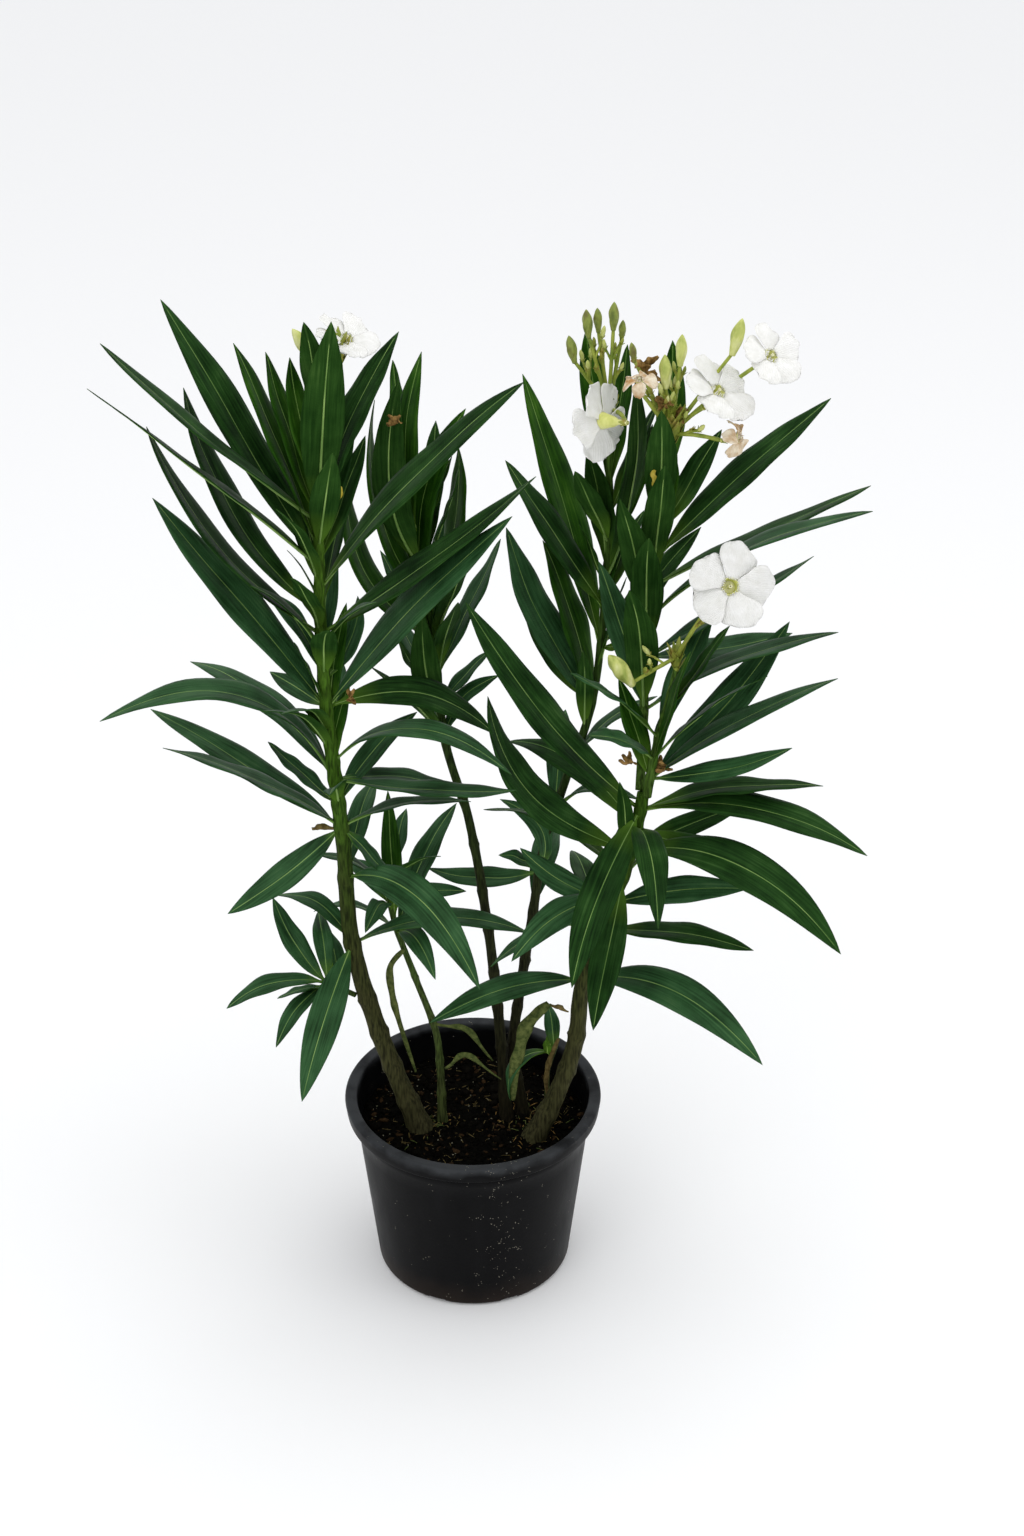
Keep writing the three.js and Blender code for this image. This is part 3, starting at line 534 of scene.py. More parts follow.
def add_crumbs(heap, draw):
    """Lumps of several sizes. The kinds are dark crumbs, reddish bark, straw and pale flecks."""
    kinds = draw.choice(len(CRUMB_KINDS), CRUMBS, p=[kind["share"] for kind in CRUMB_KINDS])
    for kind in kinds:
        radius = CRUMB_REACH * math.sqrt(draw.random())
        angle = draw.uniform(0, 2 * math.pi)
        x, y = radius * math.cos(angle), radius * math.sin(angle)
        size = draw.gamma(*CRUMB_SPREAD) + SMALLEST_CRUMB
        shape = np.array(CRUMB_KINDS[kind]["shape"]) * min(size, CRUMB_KINDS[kind]["largest"])
        lump = LUMP * (1 + CRUMB_ROUGHNESS * draw.uniform(-1, 1, (len(LUMP), 1))) * shape
        spin = draw.uniform(0, 2 * math.pi)
        cosine, sine = math.cos(spin), math.sin(spin)
        turn = np.array([[cosine, -sine, 0], [sine, cosine, 0], [0, 0, 1]])
        height = float(soil_height(x, y)) - edge_sink(radius) + CRUMB_LIFT * size
        first = heap.add(lump @ turn.T + [x, y, height])
        heap.cover([[first + corner for corner in face] for face in LUMP_FACES], 1 + int(kind))


def soil_finish(name, dark, light, roughness=0.95):
    finish = new_finish(name, dark, roughness, 0.02)
    wire(finish, ramp(finish, noise(finish, 300, 5.0), [(0.35, dark), (0.65, light)]), "Base Color")
    raise_surface(finish, noise(finish, 1400, 5.0), 0.5, 0.8)
    return finish


soil_heap = Heap()
add_soil(soil_heap)
add_crumbs(soil_heap, np.random.default_rng(5))
SOIL_FINISHES = [
    soil_finish("compost", paint(4, 4, 3), paint(12, 11, 8)),
    soil_finish("crumbs", paint(5, 4, 3), paint(17, 15, 11)),
    soil_finish("bark_chips", paint(38, 27, 17), paint(62, 46, 29)),
    soil_finish("straw", paint(80, 70, 42), paint(112, 98, 64), 0.8),
    soil_finish("pale_flecks", paint(92, 90, 74), paint(136, 132, 114), 0.8),
]
place_piece(make_piece("compost", soil_heap, SOIL_FINISHES), ["soil"])

# %% [markdown]
# ## How the plant grows
# An oleander grows by a simple rule. Each cane lifts its leaves in rings of three, called whorls, and
# the next ring stands in the gaps of the last. Low leaves reach out and droop, and young ones near the
# tip stand up. The plain solids were grown by this rule, so it is written again here with the same
# numbers. A leaf that shows in front is named by its whorl, its direction seen from above (0 right,
# 90 away, 180 left, 270 towards the viewer), how far it reaches and rises, its bow and its roll.

# %% The canes
CANES = [
    {
        "name": "left",
        "points": [
            [-40, -10, 121], [-66, -12, 202], [-85, -16, 290], [-89, -21, 380], [-97, -27, 497],
            [-98, -30, 600], [-93, -29, 680], [-81, -22, 738],
        ],
        "radii": [7.2, 2.4],
        "leafy": 281,
        "whorls": [
            290, 348, 392, 410, 432, 446, 462, 490, 512, 531,
            548, 562, 582, 600, 612, 632, 652, 672, 692, 710,
        ],
        "turn": 20,
        "low": [78, 36, 14],
        "high": [20, 96, -2],
        "marks": [
            [13, 167, 98, 177, -1, -16], [15, 198, 135, 144, -4, 0], [13, 197, 143, 144, 1, 4],
            [7, 180, 108, 157, 2, -28], [15, 305, 27, 149, 3, -14], [7, 356, 126, 148, 5, 26],
            [1, 314, 137, -27, 34, 40], [12, 2, 135, 146, 7, 12], [10, 7, 143, 112, -4, 10],
            [0, 251, 101, -69, 7, -20], [11, 192, 72, 181, -9, -24], [7, 21, 121, -46, 22, 30],
            [2, 160, 142, 66, 1, 0], [4, 137, 146, 37, 18, 10], [15, 40, 69, 114, 10, 0],
            [14, 165, 52, 139, 1, 0], [2, 195, 83, -59, -4, -38], [4, 186, 157, 55, 46, 2],
            [5, 332, 139, 29, 30, 2], [6, 15, 101, 80, -6, 0], [2, 200, 122, 88, 6, -4],
            [15, 150, 36, 111, -2, 6], [0, 14, 129, -7, 17, -4], [11, 194, 84, 158, -17, -6],
            [10, 197, 106, 159, -15, -4], [7, 135, 58, 5, 1, -25], [4, 345, 129, 11, -4, -10],
            [4, 25, 94, -33, 6, 2], [0, 148, 65, 18, 15, -12], [8, 35, 33, 51, -10, 8],
            [3, 150, 57, 34, -1, 4], [2, 350, 92, 30, 8, -8], [2, 335, 43, -37, 1, 0],
        ],
    },
    {
        "name": "top",
        "points": [
            [117, -27.5, 425.3], [119, -12, 470], [120, 2, 506], [123, 10, 552], [128, 10, 613],
            [133, 6, 668],
        ],
        "radii": [3.3, 2.2],
        "leafy": 468,
        "whorls": [478, 512, 540, 564, 584, 603, 621, 638, 652],
        "turn": 15,
        "low": [44, 104, 6],
        "high": [18, 96, -2],
        "marks": [
            [4, 11, 116, 107, 4, 12], [3, 28, 174, 35, 1, -24], [2, 348, 146, 95, 14, -8],
            [1, 30, 122, -14, -3, 8], [5, 25, 45, 67, -1, 25], [1, 335, 112, 95, -1, 8],
            [0, 9, 134, 49, 10, -14], [5, 60, 15, 62, -3, 0],
        ],
    },
    {
        "name": "front",
        "points": [
            [121.5, -36, 425.3], [126, -37, 460], [134, -34, 498], [139, -31, 522],
        ],
        "radii": [3.3, 2.0],
        "leafy": 425.3,
        "whorls": [440, 456, 472, 488, 504],
        "turn": 60,
        "low": [100, 50, 10],
        "high": [26, 90, -3],
        "marks": [
            [0, 28, 118, 85, -8, 16], [0, 354, 29, 108, 1, 48], [0, 9, 128, 67, 7, -2],
            [0, 338, 99, 46, -5, 12], [0, 170, 23, 76, 0, -44],
        ],
    },
    {
        "name": "right",
        "points": [
            [46, -22, 121], [63, -20, 162], [75, -20, 205], [79, -22, 254], [91, -26, 308], [108, -30, 361],
            [117, -32, 408], [119, -32, 425],
        ],
        "radii": [6.8, 4.2],
        "leafy": 250,
        "whorls": [262, 308, 332, 356, 378, 396, 412],
        "turn": 40,
        "low": [92, 5, 14],
        "high": [120, 30, 18],
        "marks": [
            [4, 329, 163, -30, 31, 26], [6, 241, 99, -89, 11, -22], [6, 180, 119, 161, -11, -24],
            [0, 323, 153, -7, 28, 22], [4, 186, 99, 122, -25, -36], [3, 256, 91, -69, -5, -10],
            [6, 343, 159, -8, 19, 6], [6, 168, 121, 161, 11, 0], [0, 201, 117, -7, 12, -14],
            [2, 350, 96, 23, 4, 32], [4, 20, 86, 19, 2, 25], [6, 354, 124, 27, 9, 0],
            [5, 15, 90, -16, -4, 24], [1, 335, 116, 16, 6, 0], [2, 180, 64, 46, -5, -48],
        ],
    },
    {
        "name": "centre",
        "points": [
            [37, 7, 121], [30, 15, 176], [34, 21, 216], [44, 28, 285], [51, 33, 335], [66, 37, 390],
            [84, 40, 450], [92, 41, 520], [95, 40, 600], [93, 36, 672],
        ],
        "radii": [4.0, 2.1],
        "leafy": 280,
        "whorls": [288, 320, 368, 412, 455, 500, 530, 556, 580, 602, 622, 640, 654],
        "turn": 70,
        "low": [80, 24, 14],
        "high": [18, 100, -2],
        "marks": [
            [5, 148, 64, 190, 4, -8], [4, 185, 60, 140, -5, -44], [6, 178, 70, 120, 0, -42],
            [5, 340, 69, 86, 0, 25], [4, 175, 35, 126, 4, -32], [7, 298, 27, 156, -12, 28],
            [7, 215, 18, 100, 4, 18], [1, 172, 84, -11, -7, -25], [4, 150, 56, 67, -4, -18],
            [8, 20, 30, 84, -5, 12], [5, 320, 34, 26, -4, 25], [1, 160, 30, 55, 19, -44],
            [2, 200, 43, -31, -2, -12], [1, 195, 30, 19, 4, -25],
        ],
    },
    {
        "name": "middle",
        "points": [
            [25, 0, 121], [19, 10, 209], [12, 20, 276], [-2, 31, 365], [-18, 40, 423], [-25, 47, 500],
            [-33, 50, 563], [-46, 50, 640],
        ],
        "radii": [4.2, 2.0],
        "leafy": 414,
        "whorls": [424, 450, 476, 502, 528, 556, 582, 604, 622],
        "turn": 30,
        "low": [64, 84, 4],
        "high": [18, 98, -2],
        "marks": [
            [4, 21, 28, 144, 19, 22], [4, 185, 34, 156, -16, -28], [3, 191, 56, 143, -22, -28],
            [6, 61, 10, 131, 19, -12], [5, 201, 21, 148, -22, 16], [1, 280, 30, 92, -12, 26],
            [4, 25, 23, 116, -9, 2], [1, 200, 30, 60, -1, 25], [0, 10, 39, 50, 11, 18],
            [1, 30, 40, 35, 3, 0],
        ],
    },
    {
        "name": "inner",
        "points": [
            [-23, -4, 121], [-24, -2, 167], [-27, 1, 200], [-42, 10, 243], [-56, 17, 285], [-62, 22, 322],
        ],
        "radii": [3.0, 1.9],
        "leafy": 268,
        "whorls": [278, 298, 314],
        "turn": 80,
        "low": [60, 5, 14],
        "high": [48, 40, 4],
        "marks": [
            [0, 56, 76, 71, 11, -10],
        ],
    },
    {
        "name": "tuft",
        "points": [
            [-84.4, -15, 244], [-94, -19, 252], [-106, -24, 262],
        ],
        "radii": [2.0, 1.4],
        "leafy": 244,
        "whorls": [252, 260],
        "turn": 90,
        "low": [50, 20, 6],
        "high": [40, 40, 2],
        "marks": [
            [1, 150, 44, 59, -7, -26], [1, 185, 73, -18, 12, -8], [1, 100, 44, 33, 16, 6],
            [1, 235, 60, -21, 10, 6],
        ],
    },
    {
        "name": "sprout",
        "points": [
            [57, -3, 121], [55, -6, 165], [62, -8, 196],
        ],
        "radii": [2.2, 1.3],
        "leafy": 182,
        "whorls": [188],
        "turn": 100,
        "low": [30, 24, 6],
        "high": [30, 24, 6],
        "marks": [
            [0, 212, 38, -30, 22, 0], [0, 100, 28, 24, 6, 0],
        ],
    },
]

# %% [markdown]
# Four shoots end in a head of flowers. A bloom or bud is named by where it opens and by its size, and a
# bloom also by the way that it faces.

# %% The heads
HEADS = [
    {
        "name": "blossom_left",
        "cane": "left",
        "flowers": [{"at": [-76, -16, 754], "facing": [0.4, -0.15, 0.9], "size": 23}],
        "buds": [{"at": [-103, -22, 752], "size": 26}],
    },
    {
        "name": "blossom_centre",
        "cane": "centre",
        "flowers": [{"at": [88, 8, 686], "facing": [-0.76, 0.6, -0.2], "size": 28}],
        "buds": [
            {"at": [68, 30, 727], "size": 20},
            {"at": [78, 30, 745], "size": 20},
            {"at": [85, 38, 744], "size": 17},
            {"at": [95, 28, 751], "size": 20},
            {"at": [101, 36, 738], "size": 14},
        ],
    },
    {
        "name": "blossom_top",
        "cane": "top",
        "flowers": [
            {"at": [162, -6, 713], "facing": [0.45, -0.4, 0.8], "size": 26},
            {"at": [176, -14, 684], "facing": [0.85, -0.3, 0.3], "size": 17},
            {"at": [196, 5, 733], "facing": [0.5, -0.55, 0.65], "size": 23},
            {"at": [111, -8, 722], "facing": [-0.1, -0.3, 0.95], "size": 15},
        ],
        "buds": [
            {"at": [174, 8, 745], "size": 26},
            {"at": [138, 5, 737], "size": 22},
            {"at": [128, 3, 723], "size": 24},
            {"at": [107, 6, 735], "size": 14},
        ],
    },
    {
        "name": "blossom_front",
        "cane": "front",
        "flowers": [{"at": [172, -42, 590], "facing": [0.12, -0.85, 0.5], "size": 29}],
        "buds": [{"at": [101, -50, 532], "size": 33}],
    },
]
print("canes:", len(CANES), "and heads:", len(HEADS))

# %% [markdown]
# ## Room to grow
# Leaves that cross look wrong at once. Before a leaf is drawn, it tries its place in a coarse grid of
# cells. Where wood, a flower or another leaf already holds a cell, the leaf turns a little to the side,
# as a real one bends to the light, and where nothing is free it isn't grown.

# %% Curves of the canes
FLARE = 0.45
FLARE_HEIGHT = 14.0
GAP = 0.3
DICE_FACTOR = 16807
DICE_RANGE = 2147483647


def dice(seed):
    """Small repeatable differences between -1 and 1, from a seed."""
    state = seed
    while True:
        state = state * DICE_FACTOR % DICE_RANGE
        yield 2 * state / DICE_RANGE - 1


def foot_and_tip(cane):
    """The heights at which a cane begins and ends."""
    return cane["points"][0][2], cane["points"][-1][2]


def centre_at(cane, z):
    """The cane's centre at a height: a smooth curve through its points."""
    points = cane["points"]
    higher = [k for k, point in enumerate(points) if point[2] > z]
    i = max(higher[0] - 1, 0) if higher else len(points) - 2
    a, b = np.array(points[i], float), np.array(points[i + 1], float)
    before = np.array(points[max(i - 1, 0)], float)
    after = np.array(points[min(i + 2, len(points) - 1)], float)
    span = b[2] - a[2]
    s = (z - a[2]) / span
    slope_a = (b - before) / (b[2] - before[2]) * span
    slope_b = (after - a) / (after[2] - a[2]) * span
    place = (2 * s**3 - 3 * s**2 + 1) * a + (s**3 - 2 * s**2 + s) * slope_a
    place += (3 * s**2 - 2 * s**3) * b + (s**3 - s**2) * slope_b
    return np.array([place[0], place[1], z])


def radius_at(cane, z):
    """Canes taper to their tips, and flare where they enter the compost."""
    foot, tip = foot_and_tip(cane)
    thick, thin = cane["radii"]
    taper = thick + (thin - thick) * (z - foot) / (tip - foot)
    return taper * (1 + FLARE * math.exp((foot - z) / FLARE_HEIGHT)) if foot == SOIL_LEVEL else taper


# %% Blades
LEAF_RATIO = 0.15
LEAF_EXTRA_WIDTH = 6.5
LEAF_WIDEST = 33.0
LEAF_NARROWEST = 12.0
PETIOLE_SHARE = 0.05
PETIOLE_HALF_WIDTH = 1.7


def leaf_outline(along):
    """The half width along a leaf as a share of its widest: a petiole, a long blade and a sharp tip."""
    share = np.maximum(0, (along - PETIOLE_SHARE) / (1 - PETIOLE_SHARE))
    return np.maximum(np.sin(math.pi * share**0.92), 0) ** 0.82


def heading(turn):
    """The level direction of a turn in radians, seen from above."""
    return np.array([math.cos(turn), math.sin(turn), 0.0])


def make_blade(foot, turn, reach, rise, bow, roll):
    """A blade leaves its foot in one direction and bows over on its way to the tip."""
    out = heading(math.radians(turn))
    chord = out * reach + UP * rise
    length = float(np.linalg.norm(chord))
    lift = out * (-rise / length) + UP * (reach / length)
    width = min(max(length * LEAF_RATIO + LEAF_EXTRA_WIDTH, LEAF_NARROWEST), LEAF_WIDEST)
    return {
        "curve": (foot, foot + chord / 2 + lift * 2 * bow, foot + chord),
        "side": np.cross(UP, out),
        "roll": math.radians(roll),
        "half_width": width / 2,
        "length": length,
    }


def blade_frames(blade, along):
    """Centres of a blade at shares of its length, with their directions sideways and up."""
    foot, middle, tip = blade["curve"]
    t = np.asarray(along, float)[:, None]
    centre = (1 - t) ** 2 * foot + 2 * (1 - t) * t * middle + t**2 * tip
    tangent = unit((1 - t) * (middle - foot) + t * (tip - middle))
    side = unit(blade["side"] - tangent * (tangent @ blade["side"])[:, None])
    side = side * math.cos(blade["roll"]) + np.cross(tangent, side) * math.sin(blade["roll"])
    return centre, side, np.cross(tangent, side)


# %% The grid of room
CELL = 3
SAMPLES_ALONG = 48
SAMPLES_ACROSS = 8
CROWDED_SHARE = 0.22
SIDESTEPS = [0, 2, -2, 4, -4, 7, -7, 11, -11, 16, -16, 23, -23, 31, -31]
CROWN_LOW = np.array([-252, -165, 128])
CROWN_HIGH = np.array([302, 175, 785])
ROOM_SHAPE = (260, 180, 320)
ROOM_START = np.array([120, 90, 0])
NEIGHBOURS = np.array([[i, j, k] for i in (-1, 0, 1) for j in (-1, 0, 1) for k in (-1, 0, 1)])
holder = np.full(ROOM_SHAPE, -1, np.int8)
crowded = np.zeros(ROOM_SHAPE, bool)


def to_cells(points):
    return np.floor(np.atleast_2d(points) / CELL + 0.5).astype(int) + ROOM_START


def fill_room(points, owner, near_foot):
    x, y, z = to_cells(points).T
    holder[x, y, z] = owner
    crowded[x, y, z] = near_foot


def is_taken(points, owner, near_foot):
    """Another cane's growth may not come near a point, and a cane's own leaves may not cross."""
    cells = to_cells(points)
    x, y, z = cells.T
    if ((holder[x, y, z] == owner) & ~near_foot & ~crowded[x, y, z]).any():
        return True
    x, y, z = (cells[:, None, :] + NEIGHBOURS).reshape(-1, 3).T
    around = holder[x, y, z]
    return bool(((around >= 0) & (around != owner)).any())


def settle(foot, turn, reach, rise, bow, roll, owner):
    """A leaf turns a little to the nearest free room, and is left out if there is none."""
    along = np.arange(SAMPLES_ALONG + 1) / SAMPLES_ALONG
    across = 2 * np.arange(SAMPLES_ACROSS + 1) / SAMPLES_ACROSS - 1
    near_foot = np.repeat(along < CROWDED_SHARE, len(across))
    for step in SIDESTEPS:
        blade = make_blade(foot, turn + step, reach, rise, bow, roll)
        tip = blade["curve"][2]
        if (tip <= CROWN_LOW).any() or (tip >= CROWN_HIGH).any():
            continue
        centre, side, _ = blade_frames(blade, along)
        half = np.maximum(blade["half_width"] * leaf_outline(along), PETIOLE_HALF_WIDTH)
        offset = side[:, None, :] * (half[:, None] * across[None, :])[..., None]
        samples = (centre[:, None, :] + offset).reshape(-1, 3)
        if is_taken(samples, owner, near_foot):
            continue
        fill_room(samples, owner, near_foot)
        return blade
    return None


# %% Room that wood and flowers hold
CANE_SIDES = 8
TUBE_LENGTH = 0.75
TUBE_MOUTH = 0.2
TUBE_FOOT_RADIUS = 1.6
TUBE_OVERLAP = 0.05
PETAL_FOOT = 0.06
PETAL_RISE = 0.16
BUD_FOOT = (-0.5, 0.09)
BUD_WIDEST = (0.12, 0.16)
BUD_TIP = 0.5
BUD_OVERLAP = 0.05
BUD_UPRIGHT = 1.5
FORK_HEIGHT = 12.0
FORK_RADIUS = 1.8
STALK_ROOT = 3.0
STALK_SWING = 4.0
STALK_LIFT = 3.0


def ring_round(centre, u, v, radius, sides):
    angle = (2 * math.pi * np.arange(sides) / sides)[:, None]
    return centre + u * radius * np.cos(angle) + v * radius * np.sin(angle)


def fill_cone(start, end, start_radius, end_radius, owner):
    axis = unit(end - start)
    u = unit(np.cross(AWAY, axis))
    v = np.cross(axis, u)
    steps = math.ceil(2 * max(np.linalg.norm(end - start), abs(end_radius - start_radius)) / CELL)
    for i in range(steps + 1):
        radius = start_radius + (end_radius - start_radius) * i / steps
        sides = max(CANE_SIDES, math.ceil(4 * math.pi * radius / CELL))
        fill_room(ring_round(start + (end - start) * i / steps, u, v, radius, sides), owner, False)


def reserve_wood(cane, owner):
    z, tip = foot_and_tip(cane)
    while z < tip:
        centre = centre_at(cane, z)
        fill_room(ring_round(centre, RIGHT, AWAY, radius_at(cane, z), CANE_SIDES), owner, True)
        fill_room(centre, owner, True)
        z += CELL


def plan_head(head, cane):
    """Where a head's stem, stalks, flowers and buds stand."""
    base = np.array(cane["points"][-1], float) + UP * GAP
    fork = base + UP * FORK_HEIGHT

    def stalk_to(end, facing):
        middle = (fork + end) / 2 - facing * STALK_SWING + UP * STALK_LIFT
        return fork - UP * STALK_ROOT, middle, end

    flowers, buds = [], []
    for flower in head["flowers"]:
        centre = np.array(flower["at"], float)
        facing = unit(np.array(flower["facing"], float))
        size = flower["size"]
        end = centre + facing * (TUBE_OVERLAP - TUBE_LENGTH) * size
        flowers.append({"centre": centre, "facing": facing, "size": size, "stalk": stalk_to(end, facing)})
    for bud in head["buds"]:
        centre = np.array(bud["at"], float)
        facing = unit(unit(centre - fork) + UP * BUD_UPRIGHT)
        size = bud["size"]
        end = centre + facing * (BUD_OVERLAP + BUD_FOOT[0]) * size
        buds.append({"centre": centre, "facing": facing, "size": size, "stalk": stalk_to(end, facing)})
    foot_radius = radius_at(cane, cane["points"][-1][2])
    return {"base": base, "fork": fork, "foot_radius": foot_radius, "flowers": flowers, "buds": buds}


def reserve_head(plan, owner):
    fill_cone(plan["base"], plan["fork"], plan["foot_radius"], FORK_RADIUS, owner)
    for part in plan["flowers"] + plan["buds"]:
        fill_room(bend(*part["stalk"], SAMPLES_ALONG), owner, False)
    for flower in plan["flowers"]:
        centre, facing, size = flower["centre"], flower["facing"], flower["size"]
        neck = centre - facing * TUBE_LENGTH * size
        fill_cone(neck, centre, TUBE_FOOT_RADIUS, TUBE_MOUTH * size, owner)
        cup = centre - facing * PETAL_FOOT * size
        fill_cone(cup, cup + facing * PETAL_RISE * size, 0, size, owner)
    for bud in plan["buds"]:
        centre, facing, size = bud["centre"], bud["facing"], bud["size"]
        foot = centre + facing * BUD_FOOT[0] * size
        widest = centre + facing * BUD_WIDEST[0] * size
        fill_cone(foot, widest, BUD_FOOT[1] * size, BUD_WIDEST[1] * size, owner)
        fill_cone(widest, centre + facing * BUD_TIP * size, BUD_WIDEST[1] * size, 0, owner)


# %% [markdown]
# The wood and the flowers take their room first, then the leaves that show in front, and then the rest
# of each whorl. A real whorl differs a little from leaf to leaf, so every grown leaf gets its own small
# turn, reach, rise, bow and roll from repeatable dice.

# %% Grow the whorls
WHORL = 3
WHORL_TURN = 60
VARY_TURN = 8.0
VARY_REACH = 0.12
VARY_RISE = 9.0
VARY_BOW = 3.0
VARY_ROLL = 28.0
CLOSEST_TURN = 45.0


def turn_between(a, b):
    return abs(math.fmod(a - b + 540, 360) - 180)


def between(low, high, share):
    return low + (high - low) * share


def grown_leaves(cane, owner):
    """The leaves of each whorl that no mark names."""
    vary = dice(owner + 11)
    grown = []
    for whorl, z in enumerate(cane["whorls"]):
        marks = [mark for mark in cane["marks"] if mark[0] == whorl]
        first = marks[0][1] if marks else cane["turn"] + WHORL_TURN * whorl
        if len(cane["whorls"]) == 1:
            continue
        share = whorl / (len(cane["whorls"]) - 1)
        low, high = cane["low"], cane["high"]
        for leaf in range(WHORL):
            turn = math.fmod(first + 360 / WHORL * leaf + VARY_TURN * next(vary), 360)
            reach = between(low[0], high[0], share) * (1 + VARY_REACH * next(vary))
            rise = between(low[1], high[1], share) + VARY_RISE * next(vary)
            bow = between(low[2], high[2], share) + VARY_BOW * next(vary)
            roll = VARY_ROLL * next(vary)
            close = any(turn_between(mark[1], turn) < CLOSEST_TURN for mark in marks)
            if len(marks) > leaf or close:
                continue
            grown.append(settle(centre_at(cane, z), turn, reach, rise, bow, roll, owner))
    return grown


plans = [plan_head(head, next(c for c in CANES if c["name"] == head["cane"])) for head in HEADS]
for owner, cane in enumerate(CANES):
    reserve_wood(cane, owner)
for index, plan in enumerate(plans):
    reserve_head(plan, len(CANES) + index)
leaves = []
for owner, cane in enumerate(CANES):
    marked = [settle(centre_at(cane, cane["whorls"][m[0]]), *m[1:], owner) for m in cane["marks"]]
    leaves.append([blade for blade in marked if blade])
for owner, cane in enumerate(CANES):
    leaves[owner] += [blade for blade in grown_leaves(cane, owner) if blade]
print("leaves on each cane:", {c["name"]: len(own) for c, own in zip(CANES, leaves)})

# %% [markdown]
# ## More leaves than the solids hold
# The plain solids hold the leaves that set the plant's shape. Between their whorls a real cane carries
# shorter leaves, and at each tip there is a tuft of small upright ones that have just opened. They grow
# by the same rule and in the same grid, so they only fill room that is free.

# %% Shorter leaves and tip tufts
FILL_REACH = (26.0, 15.0)
FILL_RISE = (84.0, 64.0)
FILL_WIDTH = 0.72
FILL_BOW = 4.0
FIRST_FILL = 0.22
FILL_SHIFT = 3
SMALLEST_FILL_GAP = 13.0
TUFT_LEAVES = 6
TUFT_REACH = (9.0, 17.0)
TUFT_RISE = (20.0, 42.0)
TUFT_BOW = -2
TUFT_WIDTH = 0.62
TUFT_SPACING = 2.5
GOLDEN_TURN = 137.5


def fill_leaves(cane, owner):
    """Leaves half way between two whorls, turned into their gaps, and shorter."""
    vary = dice(owner + 31)
    found = []
    pairs = list(zip(cane["whorls"][:-1], cane["whorls"][1:]))
    for whorl, (below, above) in enumerate(pairs):
        share = (whorl + 0.5) / len(pairs)
        if above - below < SMALLEST_FILL_GAP or share < FIRST_FILL:
            continue
        for leaf in range(WHORL):
            turn = cane["turn"] + WHORL_TURN * (whorl + 0.5) + 360 / WHORL * leaf
            turn += 2 * VARY_TURN * next(vary)
            reach = between(*FILL_REACH, share) * (1 + 2 * VARY_REACH * next(vary))
            rise = between(*FILL_RISE, share) + 2 * VARY_RISE * next(vary)
            bow = FILL_BOW + VARY_BOW * next(vary)
            roll = VARY_ROLL * next(vary)
            foot = centre_at(cane, (below + above) / 2 + FILL_SHIFT * next(vary))
            found.append(settle(foot, turn, reach, rise, bow, roll, owner))
    grown = [blade for blade in found if blade]
    for blade in grown:
        blade["half_width"] *= FILL_WIDTH
    return grown


def tuft_leaves(cane, owner):
    """Young leaves that stand close round a tip."""
    vary = dice(owner + 53)
    _, tip = foot_and_tip(cane)
    small = []
    for leaf in range(TUFT_LEAVES):
        share = 0.5 + 0.5 * next(vary)
        turn = cane["turn"] + GOLDEN_TURN * leaf
        foot = centre_at(cane, tip - TUFT_SPACING * (TUFT_LEAVES - leaf))
        reach, rise = between(*TUFT_REACH, share), between(*TUFT_RISE, share)
        blade = settle(foot, turn, reach, rise, TUFT_BOW, 0, owner)
        if blade:
            blade["half_width"] *= TUFT_WIDTH
            small.append(blade)
    return small


fills, tufts = [], []
for owner, cane in enumerate(CANES):
    fills.append(fill_leaves(cane, owner))
    tufts.append(tuft_leaves(cane, owner))
print("shorter leaves:", sum(map(len, fills)), "and leaves at tips:", sum(map(len, tufts)))

# %% [markdown]
# ## The leaves
# An oleander leaf is narrow and leathery. Its two halves rise a little from the midrib, its edge rolls
# under, and it sways and twists a little on its way to the tip. A flat strip would look like paper, so
# each leaf is a fine grid of points that is folded, waved and twisted by small amounts. The midrib is a
# tapered tube set into the fold: a pale line above, and a ridge below.

# %% Shape of a leaf
LEAF_ROWS = 29
LEAF_COLUMNS = 11
LEAF_THICKNESS = 0.45
MIDRIB_SIDES = 8
MIDRIB_PROUD = 0.2
ANY_PHASE = (0, 6.3)
LEAF_SWAY = 0.022
LEAF_TWIST = 20
TWIST_FROM = 0.25
RIPPLE = (0.3, 0.9)
RIPPLE_WAVES = (7, 12)
FOLD_AT_FOOT = (0.26, 0.42)
FOLD_AT_TIP = (0.06, 0.16)
EDGE_ROLL = 0.12
EDGE_WAVE = (0.25, 0.9)
EDGE_WAVES = (14, 24)


def leaf_spine(blade, along, draw):
    """The middle line of a leaf and its directions, with a little sway, ripple and twist."""
    centre, side, upward = blade_frames(blade, along)
    sway = draw.uniform(-LEAF_SWAY, LEAF_SWAY) * blade["length"]
    centre = centre + side * (sway * np.sin(math.pi * along) * along)[:, None]
    ripple = draw.uniform(*RIPPLE) * np.sin(along * draw.uniform(*RIPPLE_WAVES) + draw.uniform(*ANY_PHASE))
    centre = centre + upward * (ripple * along * (1 - along) * 4)[:, None]
    twist = math.radians(draw.uniform(-LEAF_TWIST, LEAF_TWIST)) * (along - TWIST_FROM) * (along > TWIST_FROM)
    cosine, sine = np.cos(twist)[:, None], np.sin(twist)[:, None]
    return centre, side * cosine + upward * sine, upward * cosine - side * sine


